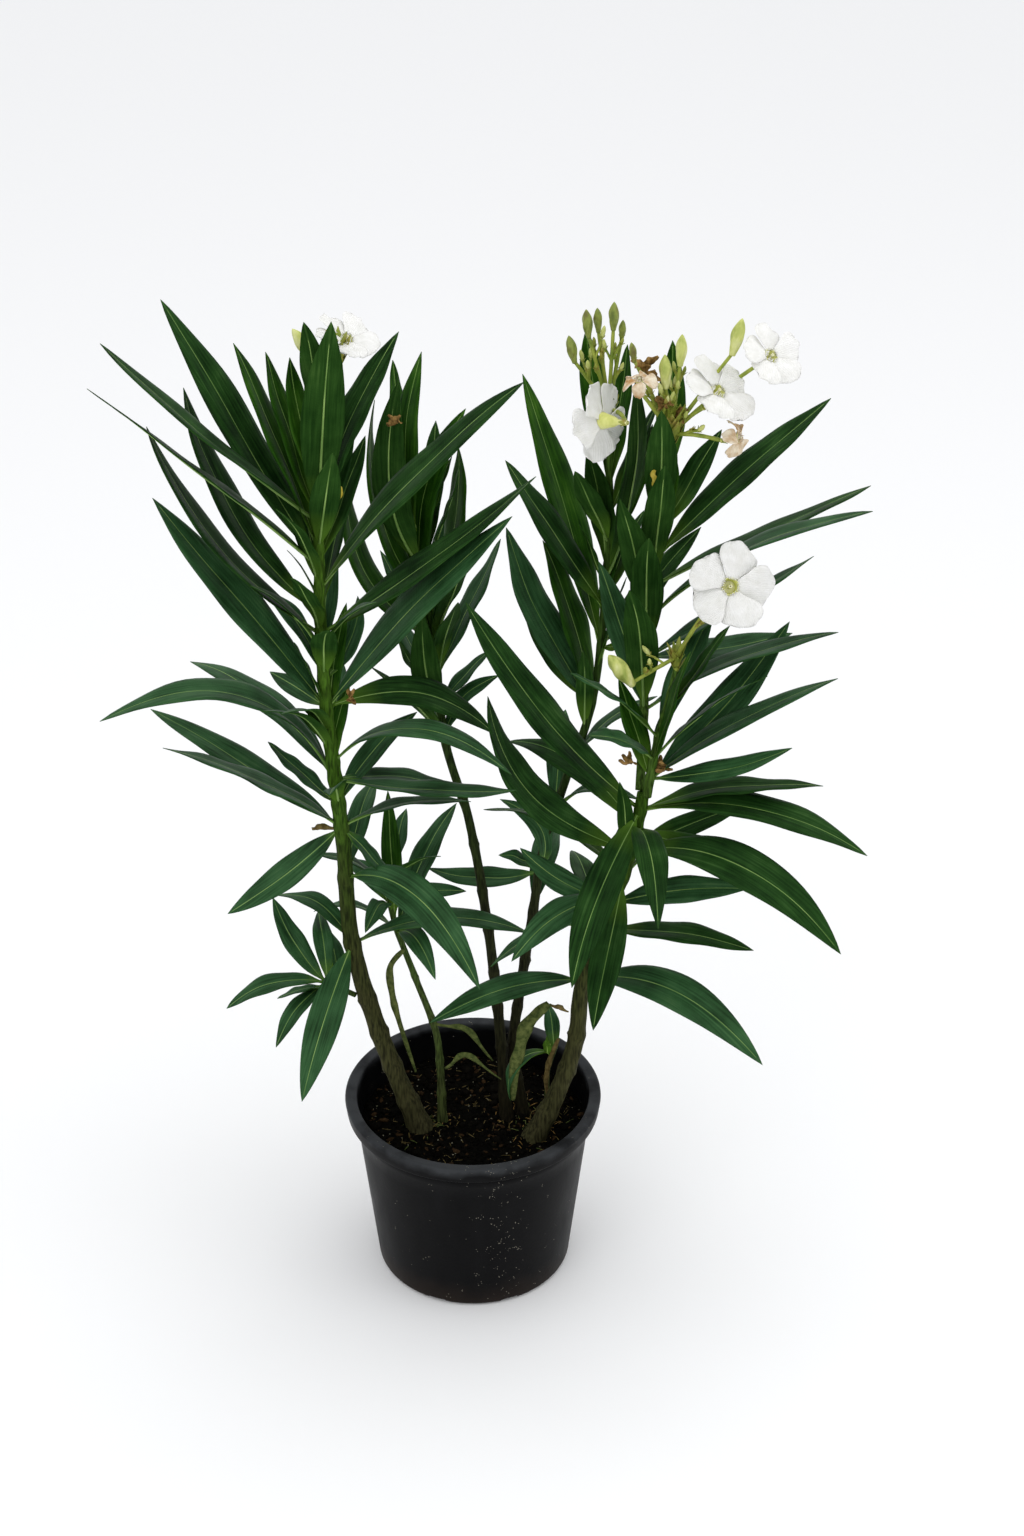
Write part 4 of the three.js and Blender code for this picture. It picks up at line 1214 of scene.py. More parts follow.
def add_leaf(heap, blade, draw, upper, under, rib):
    """A leaf with its midrib. The finishes are those of its face, its back and its rib."""
    along = np.linspace(0, 1, LEAF_ROWS) ** 1.05
    x = np.linspace(-1, 1, LEAF_COLUMNS)[None, :]
    centre, side, upward = leaf_spine(blade, along, draw)
    length, widest = blade["length"], blade["half_width"]
    half = np.maximum(widest * leaf_outline(along), 1.5 * (1 - along) ** 2 + 0.1)
    fold = between(draw.uniform(*FOLD_AT_FOOT), draw.uniform(*FOLD_AT_TIP), along)
    height = half[:, None] * (fold[:, None] * np.abs(x) - EDGE_ROLL * np.abs(x) ** 4)
    wave = draw.uniform(*EDGE_WAVE) * np.sin(along[:, None] * draw.uniform(*EDGE_WAVES) + 1.6 * np.sign(x))
    height = height + wave * x**2 * (leaf_outline(along) ** 0.5)[:, None]
    narrow = np.cos(np.arctan(fold))[:, None]
    top = centre[:, None, :] + side[:, None, :] * (half[:, None] * x * narrow)[..., None]
    top = top + upward[:, None, :] * height[..., None]
    places = np.stack(np.broadcast_arrays(half[:, None] * x, (along * length)[:, None]), axis=-1)
    add_sheet(heap, top, LEAF_THICKNESS, (upper, under), places)
    thick = 0.12 + (0.042 * widest + 0.3) * (1 - along) ** 0.8
    rib_centre = centre - upward * (thick - MIDRIB_PROUD * (1 - 0.6 * along))[:, None]
    add_tube(heap, rib_centre[:-1], thick[:-1], MIDRIB_SIDES, rib)


# %% [markdown]
# Three things give a leaf its look. Its top is green with a soft waxy shine. Fine side veins run out from
# the midrib close together, and they show only where light grazes the leaf, so they are a bump that
# follows the leaf's own marks, not a colour. Its back is dull. Old low leaves are a greyish green, and the
# sheen of light on their drooping tops is painted into their finish as a paler, bluer green. Those above
# them are a deep green, and the newest a fresh yellow green, so there is one finish for each age. At its
# foot each leaf is paler.

# %% Leaf finishes
VEIN_SPACING = 1.7
VEIN_SLANT = 0.45
RIB_BAND = 1000.0
RIB_SHARE = (0.4, 0.4, 0.4, 1)
LEAF_FOOT = paint(88, 124, 38)
FOOT_SHARE = (0.85, 0.85, 0.85, 1)
STREAK_SHIFT = (25, 25, 25)
STREAK_SCALE = (800, 34, 1)


def leaf_marks(finish):
    """Distance from the midrib and distance along the leaf, both in metres."""
    across, along, _ = split(finish, place_in(finish, "UV"))
    return maths(finish, "ABSOLUTE", across), along


def leaf_streaks(finish):
    """Fine streaks along the leaf. The place of each leaf shifts them, so that no two are the same."""
    shift = add_node(finish, "ShaderNodeVectorMath", _0=place_in(finish), _1=STREAK_SHIFT)
    shift.operation = "MULTIPLY"
    drawn = add_node(finish, "ShaderNodeVectorMath", _0=place_in(finish, "UV"), _1=STREAK_SCALE)
    drawn.operation = "MULTIPLY_ADD"
    feed(finish, drawn.inputs[2], shift.outputs[0])
    return add_node(finish, "ShaderNodeTexNoise", Vector=drawn.outputs[0], Scale=1, Detail=3).outputs["Fac"]


def leaf_finish(name, dark, light, pale, roughness, gloss, vein_depth, foot=36.0):
    """Green with fine side veins. The foot is how many millimetres the paler green runs up."""
    finish = new_finish(name, dark, roughness, gloss)
    out, run = leaf_marks(finish)
    blotches = maths(finish, "MULTIPLY", noise(finish, 38, 4.0), 0.5)
    streaks = leaf_streaks(finish)
    level = maths(finish, "ADD", blotches, maths(finish, "MULTIPLY", streaks, 0.5))
    green = ramp(finish, level, [(0.36, dark), (0.56, light), (0.78, pale)])
    near_rib = ramp(finish, maths(finish, "MULTIPLY", out, RIB_BAND), [(0.25, RIB_SHARE), (0.8, NOTHING)])
    green = mix(finish, near_rib, green, pale)
    far = maths(finish, "MULTIPLY", run, 1 / (foot * MM))
    near_foot = ramp(finish, far, [(0.15, FOOT_SHARE), (1.0, NOTHING)])
    wire(finish, mix(finish, near_foot, green, LEAF_FOOT), "Base Color")
    slanted = maths(finish, "SUBTRACT", run, maths(finish, "MULTIPLY", out, VEIN_SLANT))
    phase = maths(finish, "MULTIPLY", slanted, 2 * math.pi / (VEIN_SPACING * MM))
    bent = maths(finish, "ADD", phase, maths(finish, "MULTIPLY", noise(finish, 260, 2.0), 5.0))
    veins = maths(finish, "ADD", maths(finish, "SINE", bent), maths(finish, "MULTIPLY", streaks, 3.0))
    grain = maths(finish, "MULTIPLY", noise(finish, 900, 3.0), 1.4)
    raise_surface(finish, maths(finish, "ADD", veins, grain), vein_depth, 0.5)
    rough = maths(finish, "MULTIPLY_ADD", noise(finish, 90, 3.0), 0.22, roughness - 0.1)
    wire(finish, rough, "Roughness")
    return finish


def rib_finish(name, low, high):
    finish = new_finish(name, low, 0.5, 0.25)
    wire(finish, ramp(finish, noise(finish, 30, 2.0), [(0.35, low), (0.65, high)]), "Base Color")
    raise_surface(finish, noise(finish, 1200, 2.0), 0.05, 0.5)
    return finish


LEAF_FINISHES = [
    # Old leaves: their own greyish green, made paler and bluer by a painted sheen of the light on their
    # drooping tops.
    leaf_finish("leaf_old_painted_sheen", paint(22, 51, 22), paint(47, 85, 48), paint(76, 110, 68), 0.48, 0.1, 0.05, 15),
    leaf_finish("leaf_grown", paint(10, 35, 7), paint(34, 67, 25), paint(66, 99, 50), 0.5, 0.05, 0.05),
    leaf_finish("leaf_fresh", paint(15, 46, 5), paint(41, 80, 16), paint(76, 116, 38), 0.5, 0.05, 0.04),
    leaf_finish("leaf_young", paint(52, 94, 20), paint(84, 126, 36), paint(126, 162, 66), 0.5, 0.1, 0.03),
    leaf_finish("leaf_back", paint(22, 50, 14), paint(40, 72, 26), paint(66, 98, 44), 0.7, 0.02, 0.06),
    rib_finish("midrib", paint(92, 128, 56), paint(138, 170, 92)),
    rib_finish("midrib_young", paint(120, 158, 60), paint(152, 186, 88)),
]
OLD_SHEENED, GROWN, FRESH, YOUNG, BACK, RIB, YOUNG_RIB = range(7)
print("leaf finishes:", len(LEAF_FINISHES))

# %% Dress every leaf
LOW_CANES = ("inner", "tuft", "sprout")
STANDING = 0.93
VARY_HEIGHT = 0.12
FRESH_FROM = 0.2
GROWN_FROM = 0.5


def age_of(blade, cane, draw):
    """Low leaves are old. Higher up a leaf is grown, or fresh where it still stands upright."""
    low, high = cane["leafy"], foot_and_tip(cane)[1]
    foot, _, tip = blade["curve"]
    steep = (tip[2] - foot[2]) / blade["length"]
    share = (foot[2] - low) / (high - low) + draw.normal(0, VARY_HEIGHT)
    if cane["name"] in LOW_CANES:
        return OLD_SHEENED
    if steep > STANDING and share > FRESH_FROM:
        return FRESH
    return GROWN if share > GROWN_FROM else OLD_SHEENED


LEAF_IN_FRONT = {"right": 20}
DROOP_ASIDE = np.array([30.0, 0.0, -30.0])


def drooped(blade):
    """One leaf points at the viewer, so it droops aside and the leaf behind it shows whole."""
    foot, middle, tip = blade["curve"]
    return dict(blade, curve=(foot, middle + DROOP_ASIDE / 2, tip + DROOP_ASIDE))


draw = np.random.default_rng(17)
for owner, cane in enumerate(CANES):
    heap = Heap()
    for index, blade in enumerate(leaves[owner]):
        if LEAF_IN_FRONT.get(cane["name"]) == index:
            blade = drooped(blade)
        add_leaf(heap, blade, draw, age_of(blade, cane, draw), BACK, RIB)
    for blade in fills[owner]:
        add_leaf(heap, blade, draw, FRESH, BACK, RIB)
    for blade in tufts[owner]:
        add_leaf(heap, blade, draw, YOUNG, FRESH, YOUNG_RIB)
    name = cane["name"]
    place_piece(make_piece("leaves_" + name, heap, LEAF_FINISHES), ["foliage_" + name])

# %% [markdown]
# ## The canes
# Old oleander wood is grey brown and finely cracked. Higher up, the same cane is green and smooth. It is
# a little thicker where each whorl stands, and where leaves have dropped they leave small half-moon
# scars. A tube with a plain side would miss all that, so each ring of the tube gets its own radius at
# every step round, and the finish changes from wood to green with height.

# %% Shape of the bark
BARK_STEP = 2.4
BARK_SIDES = 24
BURIED = 6.0
SCAR_SPACING = 33.0
SCAR_LIP = 0.75
SCAR_PIT = 0.4
SCAR_CURVE = 0.06
SCAR_SHIFT = 5
LIP_WIDTH = 2.2
LIP_HEIGHT = 1.3
PIT_WIDTH = 1.2
PIT_ABOVE = 1.2
PIT_HEIGHT = 1.0
FIRST_SCAR = 24
LAST_SCAR = 6
NODE_SWELL = 0.13
NODE_REACH = 4.5


def bark_radii(cane, heights, draw):
    """Radii for each height and side, with ridges, swellings at the nodes and scars of fallen leaves."""
    angle = np.arange(BARK_SIDES) * 2 * math.pi / BARK_SIDES
    foot, _ = foot_and_tip(cane)
    plain = np.array([radius_at(cane, max(z, foot)) for z in heights])
    z = heights[:, None]
    turn = angle[None, :]
    lean = draw.uniform(*ANY_PHASE)
    ridges = 0.022 * np.sin(5 * turn + z / 31 + lean) + 0.016 * np.sin(9 * turn - z / 19 + 2 * lean)
    lumps = 0.02 * np.sin(z / 7.3 + 3 * np.sin(turn + lean)) + 0.012 * np.sin(z / 2.9 + 4 * np.cos(turn))
    bare = np.arange(foot + FIRST_SCAR, cane["leafy"] - LAST_SCAR, SCAR_SPACING)
    bare = bare + draw.uniform(-SCAR_SHIFT, SCAR_SHIFT, len(bare))
    nodes = np.concatenate([bare, cane["whorls"]])
    swell = sum(NODE_SWELL * np.exp(-(((z - node) / NODE_REACH) ** 2)) for node in nodes)
    radii = plain[:, None] * (1 + ridges + lumps + swell)
    for count, node in enumerate(bare):
        for leaf in range(WHORL):
            place = math.radians(cane["turn"] + WHORL_TURN * count + 2 * WHORL_TURN * leaf)
            off = (turn - place + math.pi) % (2 * math.pi) - math.pi
            across = off * plain[:, None]
            up_down = z - node - SCAR_CURVE * across**2
            lip = np.exp(-((across / LIP_WIDTH) ** 2) - (up_down / LIP_HEIGHT) ** 2)
            pit = np.exp(-((across / PIT_WIDTH) ** 2) - ((up_down - PIT_ABOVE) / PIT_HEIGHT) ** 2)
            radii = radii + SCAR_LIP * lip - SCAR_PIT * pit
    return radii


def add_cane(heap, cane, draw):
    foot, tip = foot_and_tip(cane)
    start = foot - BURIED if foot == SOIL_LEVEL else foot
    heights = np.linspace(start, tip, max(4, int((tip - start) / BARK_STEP)))
    centres = np.array([centre_at(cane, z) for z in heights])
    add_tube(heap, centres, bark_radii(cane, heights, draw), BARK_SIDES, 0)


# %% Finishes of the bark
SHADE_SHARE = 0.8


def bark_finish(name, stops, grain_depth, roughness):
    """The stops are heights in metres and their colours. Noise makes their edges ragged."""
    finish = new_finish(name, stops[0][1], roughness, 0.06)
    height = split(finish, place_in(finish))[2]
    ragged = maths(finish, "MULTIPLY", noise(finish, 90, 4.0, (1, 1, 0.3)), 0.14)
    level = maths(finish, "ADD", height, maths(finish, "SUBTRACT", ragged, 0.07))
    colour = ramp(finish, level, stops)
    streaks = noise(finish, 700, 4.0, (1, 1, 0.12))
    shade = ramp(finish, streaks, [(0.34, paint(92, 92, 92)), (0.62, (1, 1, 1, 1))])
    wire(finish, mix(finish, SHADE_SHARE, colour, shade, "MULTIPLY"), "Base Color")
    cracks = maths(finish, "ADD", streaks, maths(finish, "MULTIPLY", noise(finish, 380, 5.0), 0.8))
    raise_surface(finish, cracks, grain_depth, 0.8)
    return finish


WOODY = bark_finish(
    "bark_old",
    [(0.12, paint(68, 66, 42)), (0.24, paint(62, 64, 34)), (0.33, paint(54, 66, 26)),
     (0.42, paint(68, 104, 28)), (0.75, paint(94, 132, 44))],
    0.5,
    0.75,
)
DARK = bark_finish(
    "bark_dark",
    [(0.12, paint(34, 30, 19)), (0.3, paint(44, 48, 25)),
     (0.45, paint(50, 74, 28)), (0.7, paint(82, 116, 42))],
    0.35,
    0.7,
)
GREEN = bark_finish(
    "bark_young",
    [(0.12, paint(72, 80, 44)), (0.3, paint(66, 90, 36)), (0.7, paint(90, 128, 46))],
    0.2,
    0.6,
)
BARKS = {"left": WOODY, "right": WOODY, "middle": DARK, "centre": DARK}
SOLIDS_WITHOUT_STEM = ("front", "tuft")

draw = np.random.default_rng(29)
for cane in CANES:
    heap = Heap()
    add_cane(heap, cane, draw)
    name = cane["name"]
    solid = "foliage_" + name if name in SOLIDS_WITHOUT_STEM else "stem_" + name
    place_piece(make_piece("cane_" + name, heap, [BARKS.get(name, GREEN)]), [solid])

# %% [markdown]
# ## The flowers
# A flower of this plant is a funnel with five petals round its mouth. Each petal is narrow at the throat,
# broad and blunt at its end, and set at a slant, like the blade of a fan. Fringes stand round the throat,
# and inside it the stamens twist into a pale yellow cone. Each petal is a small sheet that is cupped,
# slanted and ruffled, and the funnel is an outline with an inside and an outside, turned round its axis.

# %% Petals and funnel
PETALS = 5
PETAL_ROWS = 15
PETAL_COLUMNS = 13
PETAL_THICKNESS = 0.35
PETAL_HALF_WIDTH = 0.48
PETAL_SLANT = math.tan(math.radians(12))
PETAL_START = 0.17
PETAL_LENGTH = (0.92, 1.05)
PETAL_BREADTH = (0.95, 1.06)
PETAL_CUP = (0.5, 1.8)
RUFFLE = 0.032
FINE_RUFFLE = 0.018
SPENT_LIMP = 0.8
FRINGE_TURNS = (-22, -8, 6, 20)
STAMEN_TWIST = 2.2
SEPAL_LENGTH = (4.5, 6.5)
SEPAL_THICKNESS = 0.35
FUNNEL_STEPS = 24
PETAL, THROAT, TUBE, STALK, SEPAL, BUD, SPENT, GREEN_BUD = range(8)


def facing_frame(facing):
    u = unit(np.cross(UP, facing))
    return u, np.cross(facing, u)


def spoke(facing, angle):
    """The direction at an angle round the axis of a flower or bud."""
    u, v = facing_frame(facing)
    return u * math.cos(angle) + v * math.sin(angle)


def petal_width(along):
    """Half the width as a share of the widest: narrow at the throat, widest near the blunt end."""
    rise = np.clip((along - 0.12) / 0.58, 0, 1)
    fall = np.clip((along - 0.78) / 0.22, 0, 1)
    return (0.3 + 0.7 * rise * rise * (3 - 2 * rise)) * np.sqrt(1 - 0.62 * fall**2)


def add_petal(heap, flower, angle, draw, slot, limp):
    """One petal. A limp one hangs back and curls in at its sides."""
    size, facing = flower["size"], flower["facing"]
    out = spoke(facing, angle)
    side = np.cross(facing, out)
    a = np.linspace(PETAL_START, 1, PETAL_ROWS)[:, None]
    b = np.linspace(-1, 1, PETAL_COLUMNS)[None, :]
    stretch = draw.uniform(*PETAL_LENGTH)
    run = a * stretch * (1 - 0.13 * a * b**2 + 0.07 * a * b + 0.012 * a * np.sin(5 * b + angle))
    half = PETAL_HALF_WIDTH * petal_width(a) * draw.uniform(*PETAL_BREADTH) * (1 - 0.45 * limp)
    cup = PETAL_RISE * draw.uniform(*PETAL_CUP) * a + 0.25 * a * (1 - a)
    cup = cup - 0.1 * np.clip(a - 0.72, 0, 1) - 0.05 * a * b**2
    ruffle = RUFFLE * a**2 * np.sin(6 * b + 3 * a + draw.uniform(*ANY_PHASE))
    ruffle = ruffle + FINE_RUFFLE * a**3 * np.sin(13 * b + draw.uniform(*ANY_PHASE))
    height = cup + ruffle + PETAL_SLANT * b * half
    height = height - limp * (0.55 * a**2 - 0.5 * (b * half) ** 2 * 4)
    foot = flower["centre"] - facing * PETAL_FOOT * size
    top = foot + out * (run * (1 - 0.3 * limp))[..., None] * size
    top = top + side * (b * half)[..., None] * size + facing * height[..., None] * size
    places = np.stack(np.broadcast_arrays(b * half * size, a * size + 0 * b), axis=-1)
    add_sheet(heap, top, PETAL_THICKNESS, (slot, slot), places)


def funnel_outline(size):
    """Outline of the funnel from its neck up the outside, over the lip and down into the throat."""
    mouth = TUBE_MOUTH * size
    outside = [(1.5, -TUBE_LENGTH), (1.7, -0.62), (1.8, -0.48)]
    outside = [(radius, height * size) for radius, height in outside]
    outside += [(0.45 * mouth + 0.9, -0.36 * size), (0.8 * mouth, -0.2 * size), (mouth, -0.04 * size)]
    lip = [(mouth + 0.15, 0.02 * size), (mouth - 0.25, 0.02 * size)]
    inside = [(0.74 * mouth, -0.2 * size), (0.4 * mouth + 0.5, -0.36 * size), (0.8, -0.5 * size)]
    return outside + lip, inside


def add_turned(heap, profile, steps, slot, centre, facing):
    """An outline turned round an axis that may point anywhere."""
    u, v = facing_frame(facing)

    def stand(points, _):
        return centre + points[..., :1] * u + points[..., 1:2] * v + points[..., 2:] * facing

    turn_profile(heap, profile, steps, slot, stand)


def add_sepal(heap, foot, facing, out, length):
    """A small pointed leaf that hugs the tube or the bud."""
    t = np.linspace(0, 1, 7)[:, None]
    x = np.linspace(-1, 1, 5)[None, :]
    side = np.cross(facing, out)
    half = 0.2 * length * np.sin(math.pi * (0.25 + 0.72 * t)) ** 1.2 + 0.08
    spread = 1.3 + 0.9 * t + 0.6 * t**2 - 0.35 * np.abs(x) * (1 - t)
    top = foot + facing * (t * length + 0 * x)[..., None] + out * spread[..., None]
    top = top + side * (x * half)[..., None]
    add_sheet(heap, top[:, ::-1], SEPAL_THICKNESS, (SEPAL, SEPAL))


def add_flower(heap, flower, draw, spent=False):
    centre, facing, size = flower["centre"], flower["facing"], flower["size"]
    slot, limp = (SPENT, SPENT_LIMP) if spent else (PETAL, 0.0)
    outside, inside = funnel_outline(size)
    add_turned(heap, outside + inside, FUNNEL_STEPS, TUBE, centre, facing)
    lining = [(radius - 0.06, height + 0.04) for radius, height in inside]
    back = [(max(radius - 0.3, 0.3), height + 0.3) for radius, height in reversed(lining)]
    add_turned(heap, back[:1] + lining[::-1], FUNNEL_STEPS, THROAT, centre, facing)
    for k in range(PETALS):
        angle = 2 * math.pi * k / PETALS + draw.uniform(-0.1, 0.1)
        add_petal(heap, flower, angle, draw, slot, limp)
        for turn in FRINGE_TURNS:
            out = spoke(facing, angle + math.radians(turn + draw.uniform(-3, 3)))
            foot = centre + out * (TUBE_MOUTH * size - 0.3)
            tip = foot + facing * size * draw.uniform(0.09, 0.16) - out * size * draw.uniform(0.0, 0.05)
            line = bend(foot, (foot + tip) / 2 + out * 0.3, tip, 4)
            add_tube(heap, line, np.linspace(0.5, 0.14, 5), 5, slot)
    for k in range(PETALS):
        where = 2 * math.pi * k / PETALS + 0.4
        out = spoke(facing, where)
        start = centre - facing * 0.4 * size + out * 0.9
        tip = centre + facing * 0.10 * size + spoke(facing, where + STAMEN_TWIST) * 0.035 * size
        line = bend(start, centre - facing * 0.1 * size + out * 1.1, tip, 7)
        add_tube(heap, line, np.linspace(0.8, 0.35, 8), 6, THROAT)
        add_sepal(heap, centre - facing * 0.76 * size, facing, out, draw.uniform(*SEPAL_LENGTH))


# %% [markdown]
# ## The buds
# An oleander bud keeps its petals wound up in a spiral, so it is a pointed spindle with twisted ridges.
# It opens from green through cream to white. The ridges are made by letting the radius rise and fall
# five times on the way round, with a turn that grows with height.

# %% Buds and stalks
BUD_STEPS = 30
BUD_ROWS = 22
BUD_WINDING = 9
BUD_RIDGE = 0.10
STALK_STEPS = 12
SMALLEST_BUD = 7


def add_bud(heap, centre, facing, size, slot=BUD):
    """A wound bud with its sepals, as long as its size."""
    share = np.linspace(0, 1, BUD_ROWS)
    swelling = np.sin(math.pi * np.clip(share, 0, 1) ** 1.25) ** 0.8
    radius = size * (BUD_WIDEST[1] * swelling * 0.95 + 0.075 * (1 - share) ** 3) + 0.12
    height = size * (BUD_FOOT[0] + share * (BUD_TIP - BUD_FOOT[0]))

    def wind(points, angle):
        turn = angle[None, :] * PETALS - share[:, None] * BUD_WINDING
        ridge = 1 + BUD_RIDGE * np.sin(turn) * np.sin(math.pi * share[:, None])
        u, v = facing_frame(facing)
        flat = points[..., :1] * ridge[..., None] * u + points[..., 1:2] * ridge[..., None] * v
        return centre + flat + points[..., 2:] * facing

    turn_profile(heap, list(zip(radius, height)), BUD_STEPS, slot, wind)
    for k in range(PETALS):
        out = spoke(facing, 2 * math.pi * k / PETALS)
        foot = centre + facing * BUD_FOOT[0] * size - out * 0.5
        add_sepal(heap, foot, facing, out, max(2.2, 0.24 * size))


def add_stalk(heap, start, middle, end, thick, thin, slot=STALK):
    line = bend(start, middle, end, STALK_STEPS)
    lumps = 1 + 0.05 * np.sin(np.arange(len(line)) * 1.9)
    add_tube(heap, line, np.linspace(thick, thin, len(line)) * lumps, 10, slot)


def add_side_twig(heap, start, direction, length, size, draw):
    """A short twig of the head that ends in a small bud, with two bracts half way."""
    end = start + direction * length
    middle = (start + end) / 2 + UP * length * 0.12 + RIGHT * draw.uniform(-1.5, 1.5)
    add_stalk(heap, start, middle, end, 0.95, 0.7)
    aim = unit(direction + UP * 0.6)
    add_bud(heap, end + aim * size * 0.45, aim, size, SEPAL if size < SMALLEST_BUD else BUD)
    for turn in (-1, 1):
        out = unit(np.cross(direction, RIGHT * turn + AWAY * 0.4))
        add_sepal(heap, middle - out * 0.9, unit(direction), out, draw.uniform(3.5, 6))


# %% Finishes of the heads
PETAL_GLOW = 0.5
PETAL_GLOW_DEPTH = 2.0
PETAL_VEINS = 1.3


def petal_finish(name, low, high, roughness):
    finish = new_finish(name, low, roughness, 0.3)
    shader = finish.node_tree.nodes["Principled BSDF"]
    shader.inputs["Subsurface Weight"].default_value = PETAL_GLOW
    shader.inputs["Subsurface Radius"].default_value = (1, 1, 1)
    shader.inputs["Subsurface Scale"].default_value = PETAL_GLOW_DEPTH * MM
    wire(finish, ramp(finish, noise(finish, 160, 3.0), [(0.3, low), (0.7, high)]), "Base Color")
    across = split(finish, place_in(finish, "UV"))[0]
    streaks = maths(finish, "SINE", maths(finish, "MULTIPLY", across, 2 * math.pi / (PETAL_VEINS * MM)))
    wrinkles = maths(finish, "MULTIPLY", noise(finish, 420, 3.0), 2.0)
    raise_surface(finish, maths(finish, "ADD", streaks, wrinkles), 0.12, 0.5)
    return finish


def bud_finish(name, low, high, top):
    """Three colours in blots that are drawn out along the height."""
    finish = new_finish(name, low, 0.5, 0.35)
    mottle = noise(finish, 150, 3.0, (1, 1, 0.5))
    wire(finish, ramp(finish, mottle, [(0.3, low), (0.5, high), (0.72, top)]), "Base Color")
    raise_surface(finish, noise(finish, 900, 3.0), 0.12, 0.6)
    return finish


HEAD_FINISHES = [
    petal_finish("petal", paint(226, 225, 219), paint(240, 239, 236), 0.6),
    petal_finish("throat", paint(232, 228, 158), paint(244, 242, 206), 0.55),
    bud_finish("flower_tube", paint(190, 196, 96), paint(214, 216, 132), paint(228, 228, 176)),
    bud_finish("head_stalk", paint(108, 128, 40), paint(140, 154, 54), paint(164, 172, 72)),
    bud_finish("sepal", paint(104, 124, 38), paint(142, 150, 56), paint(156, 136, 64)),
    bud_finish("bud", paint(150, 164, 74), paint(190, 196, 110), paint(218, 220, 156)),
    petal_finish("spent_petal", paint(168, 128, 78), paint(236, 222, 198), 0.75),
    bud_finish("green_bud", paint(92, 106, 40), paint(132, 144, 62), paint(88, 76, 38)),
]

# %% [markdown]
# ## The heads
# The blooms and buds stand on the stalks of the plain solids. Real heads also carry short side twigs with
# buds that are still small, some of them brown where a flower has dropped, and narrow bracts at each fork.

# %% Build the heads
SIDE_TWIGS = {"blossom_left": 6, "blossom_centre": 16, "blossom_top": 60, "blossom_front": 9}
BRACTS = {"blossom_left": 20, "blossom_centre": 14, "blossom_top": 44, "blossom_front": 14}
RIPE_BUD = 22
SPENT_FLOWERS = {"blossom_top": (1, 3)}
TWIG_LENGTH = (7, 15)
TWIG_BUD = (5, 10)
PETAL_ROOM = 1.0
BRACT_TURN = 2.4
BRACT_LENGTH = 9


def clear_of(flowers, foot, direction, length):
    """Whether a twig stays out of every flower's petals, for its whole length and its bud's."""
    line = foot + np.outer(np.linspace(0.3, 1.7, 6) * length, direction)
    gaps = [np.linalg.norm(line - flower["centre"], axis=1).min() / flower["size"] for flower in flowers]
    return min(gaps) > PETAL_ROOM


kept = 0
draw = np.random.default_rng(41)
for head, plan in zip(HEADS, plans):
    heap = Heap()
    base, fork = plan["base"], plan["fork"]
    add_stalk(heap, base - UP * 1.5, (base + fork) / 2, fork, plan["foot_radius"], FORK_RADIUS)
    for index, flower in enumerate(plan["flowers"]):
        add_stalk(heap, *flower["stalk"], 1.6, 1.3)
        add_flower(heap, flower, draw, index in SPENT_FLOWERS.get(head["name"], ()))
    for bud in plan["buds"]:
        add_stalk(heap, *bud["stalk"], 1.5, 1.15)
        ripe = bud["size"] >= RIPE_BUD
        add_bud(heap, bud["centre"], bud["facing"], bud["size"], BUD if ripe else GREEN_BUD)
    parts = plan["flowers"] + plan["buds"]
    for twig in range(SIDE_TWIGS[head["name"]]):
        start, middle, end = parts[twig % len(parts)]["stalk"]
        foot = bend(start, middle, end, 10)[int(draw.integers(3, 8))]
        turn = draw.uniform(0, 2 * math.pi)
        direction = unit(unit(end - start) + UP * 0.7 + heading(turn) * 0.8)
        length, size = draw.uniform(*TWIG_LENGTH), draw.uniform(*TWIG_BUD)
        if clear_of(plan["flowers"], foot, direction, length):
            add_side_twig(heap, foot, direction, length, size, draw)
            kept += 1
    bracts = BRACTS[head["name"]]
    for bract in range(bracts):
        out = heading(BRACT_TURN * bract)
        foot = base + (fork - base) * bract / bracts + out * 0.6
        length = draw.uniform(BRACT_LENGTH, BRACT_LENGTH + 0.35 * bracts)
        add_sepal(heap, foot, unit(UP + out * 0.35), out, length)
    name = head["name"].replace("blossom", "flowers")
    place_piece(make_piece(name, heap, HEAD_FINISHES), [head["name"]])
print("side twigs that stand clear of the petals:", kept, "of", sum(SIDE_TWIGS.values()))

# %% [markdown]
# ## Dry and withered bits
# A plant from a nursery is never perfectly clean. A few lowest leaves have dried and hang by the canes,
# curled and brown, thin dry strips arch over the compost, fibres lie round the canes' feet, and spent
# flowers cling to some forks. They are few and small, but without them the plant looks made up. Each
# strip follows a line of places, with a width that tapers and edges that curl in.

# %% Dry strips
DRY_LEAF, DRY_STEM, WITHERED, YELLOWED = range(4)
STRIP_THICKNESS = 0.4
WITHERED_STRIPS = 6
LITTER_EACH = 20
LITTER_SPREAD = (1.6, 2.6)
LITTER_LENGTH = (2, 8)


def smooth_line(places, steps):
    """A smooth line through places: each stretch is eased by the ones beside it."""
    places = np.array(places, float)
    ends = np.concatenate([2 * places[:1] - places[1:2], places, 2 * places[-1:] - places[-2:-1]])
    line = []
    for k in range(1, len(ends) - 2):
        t = np.linspace(0, 1, steps, endpoint=False)[:, None]
        a, b, c, d = ends[k - 1 : k + 3]
        line.append(0.5 * (2 * b + (c - a) * t + (2 * a - 5 * b + 4 * c - d) * t**2
                           + (3 * b - a - 3 * c + d) * t**3))
    return np.concatenate([*line, places[-1:]])


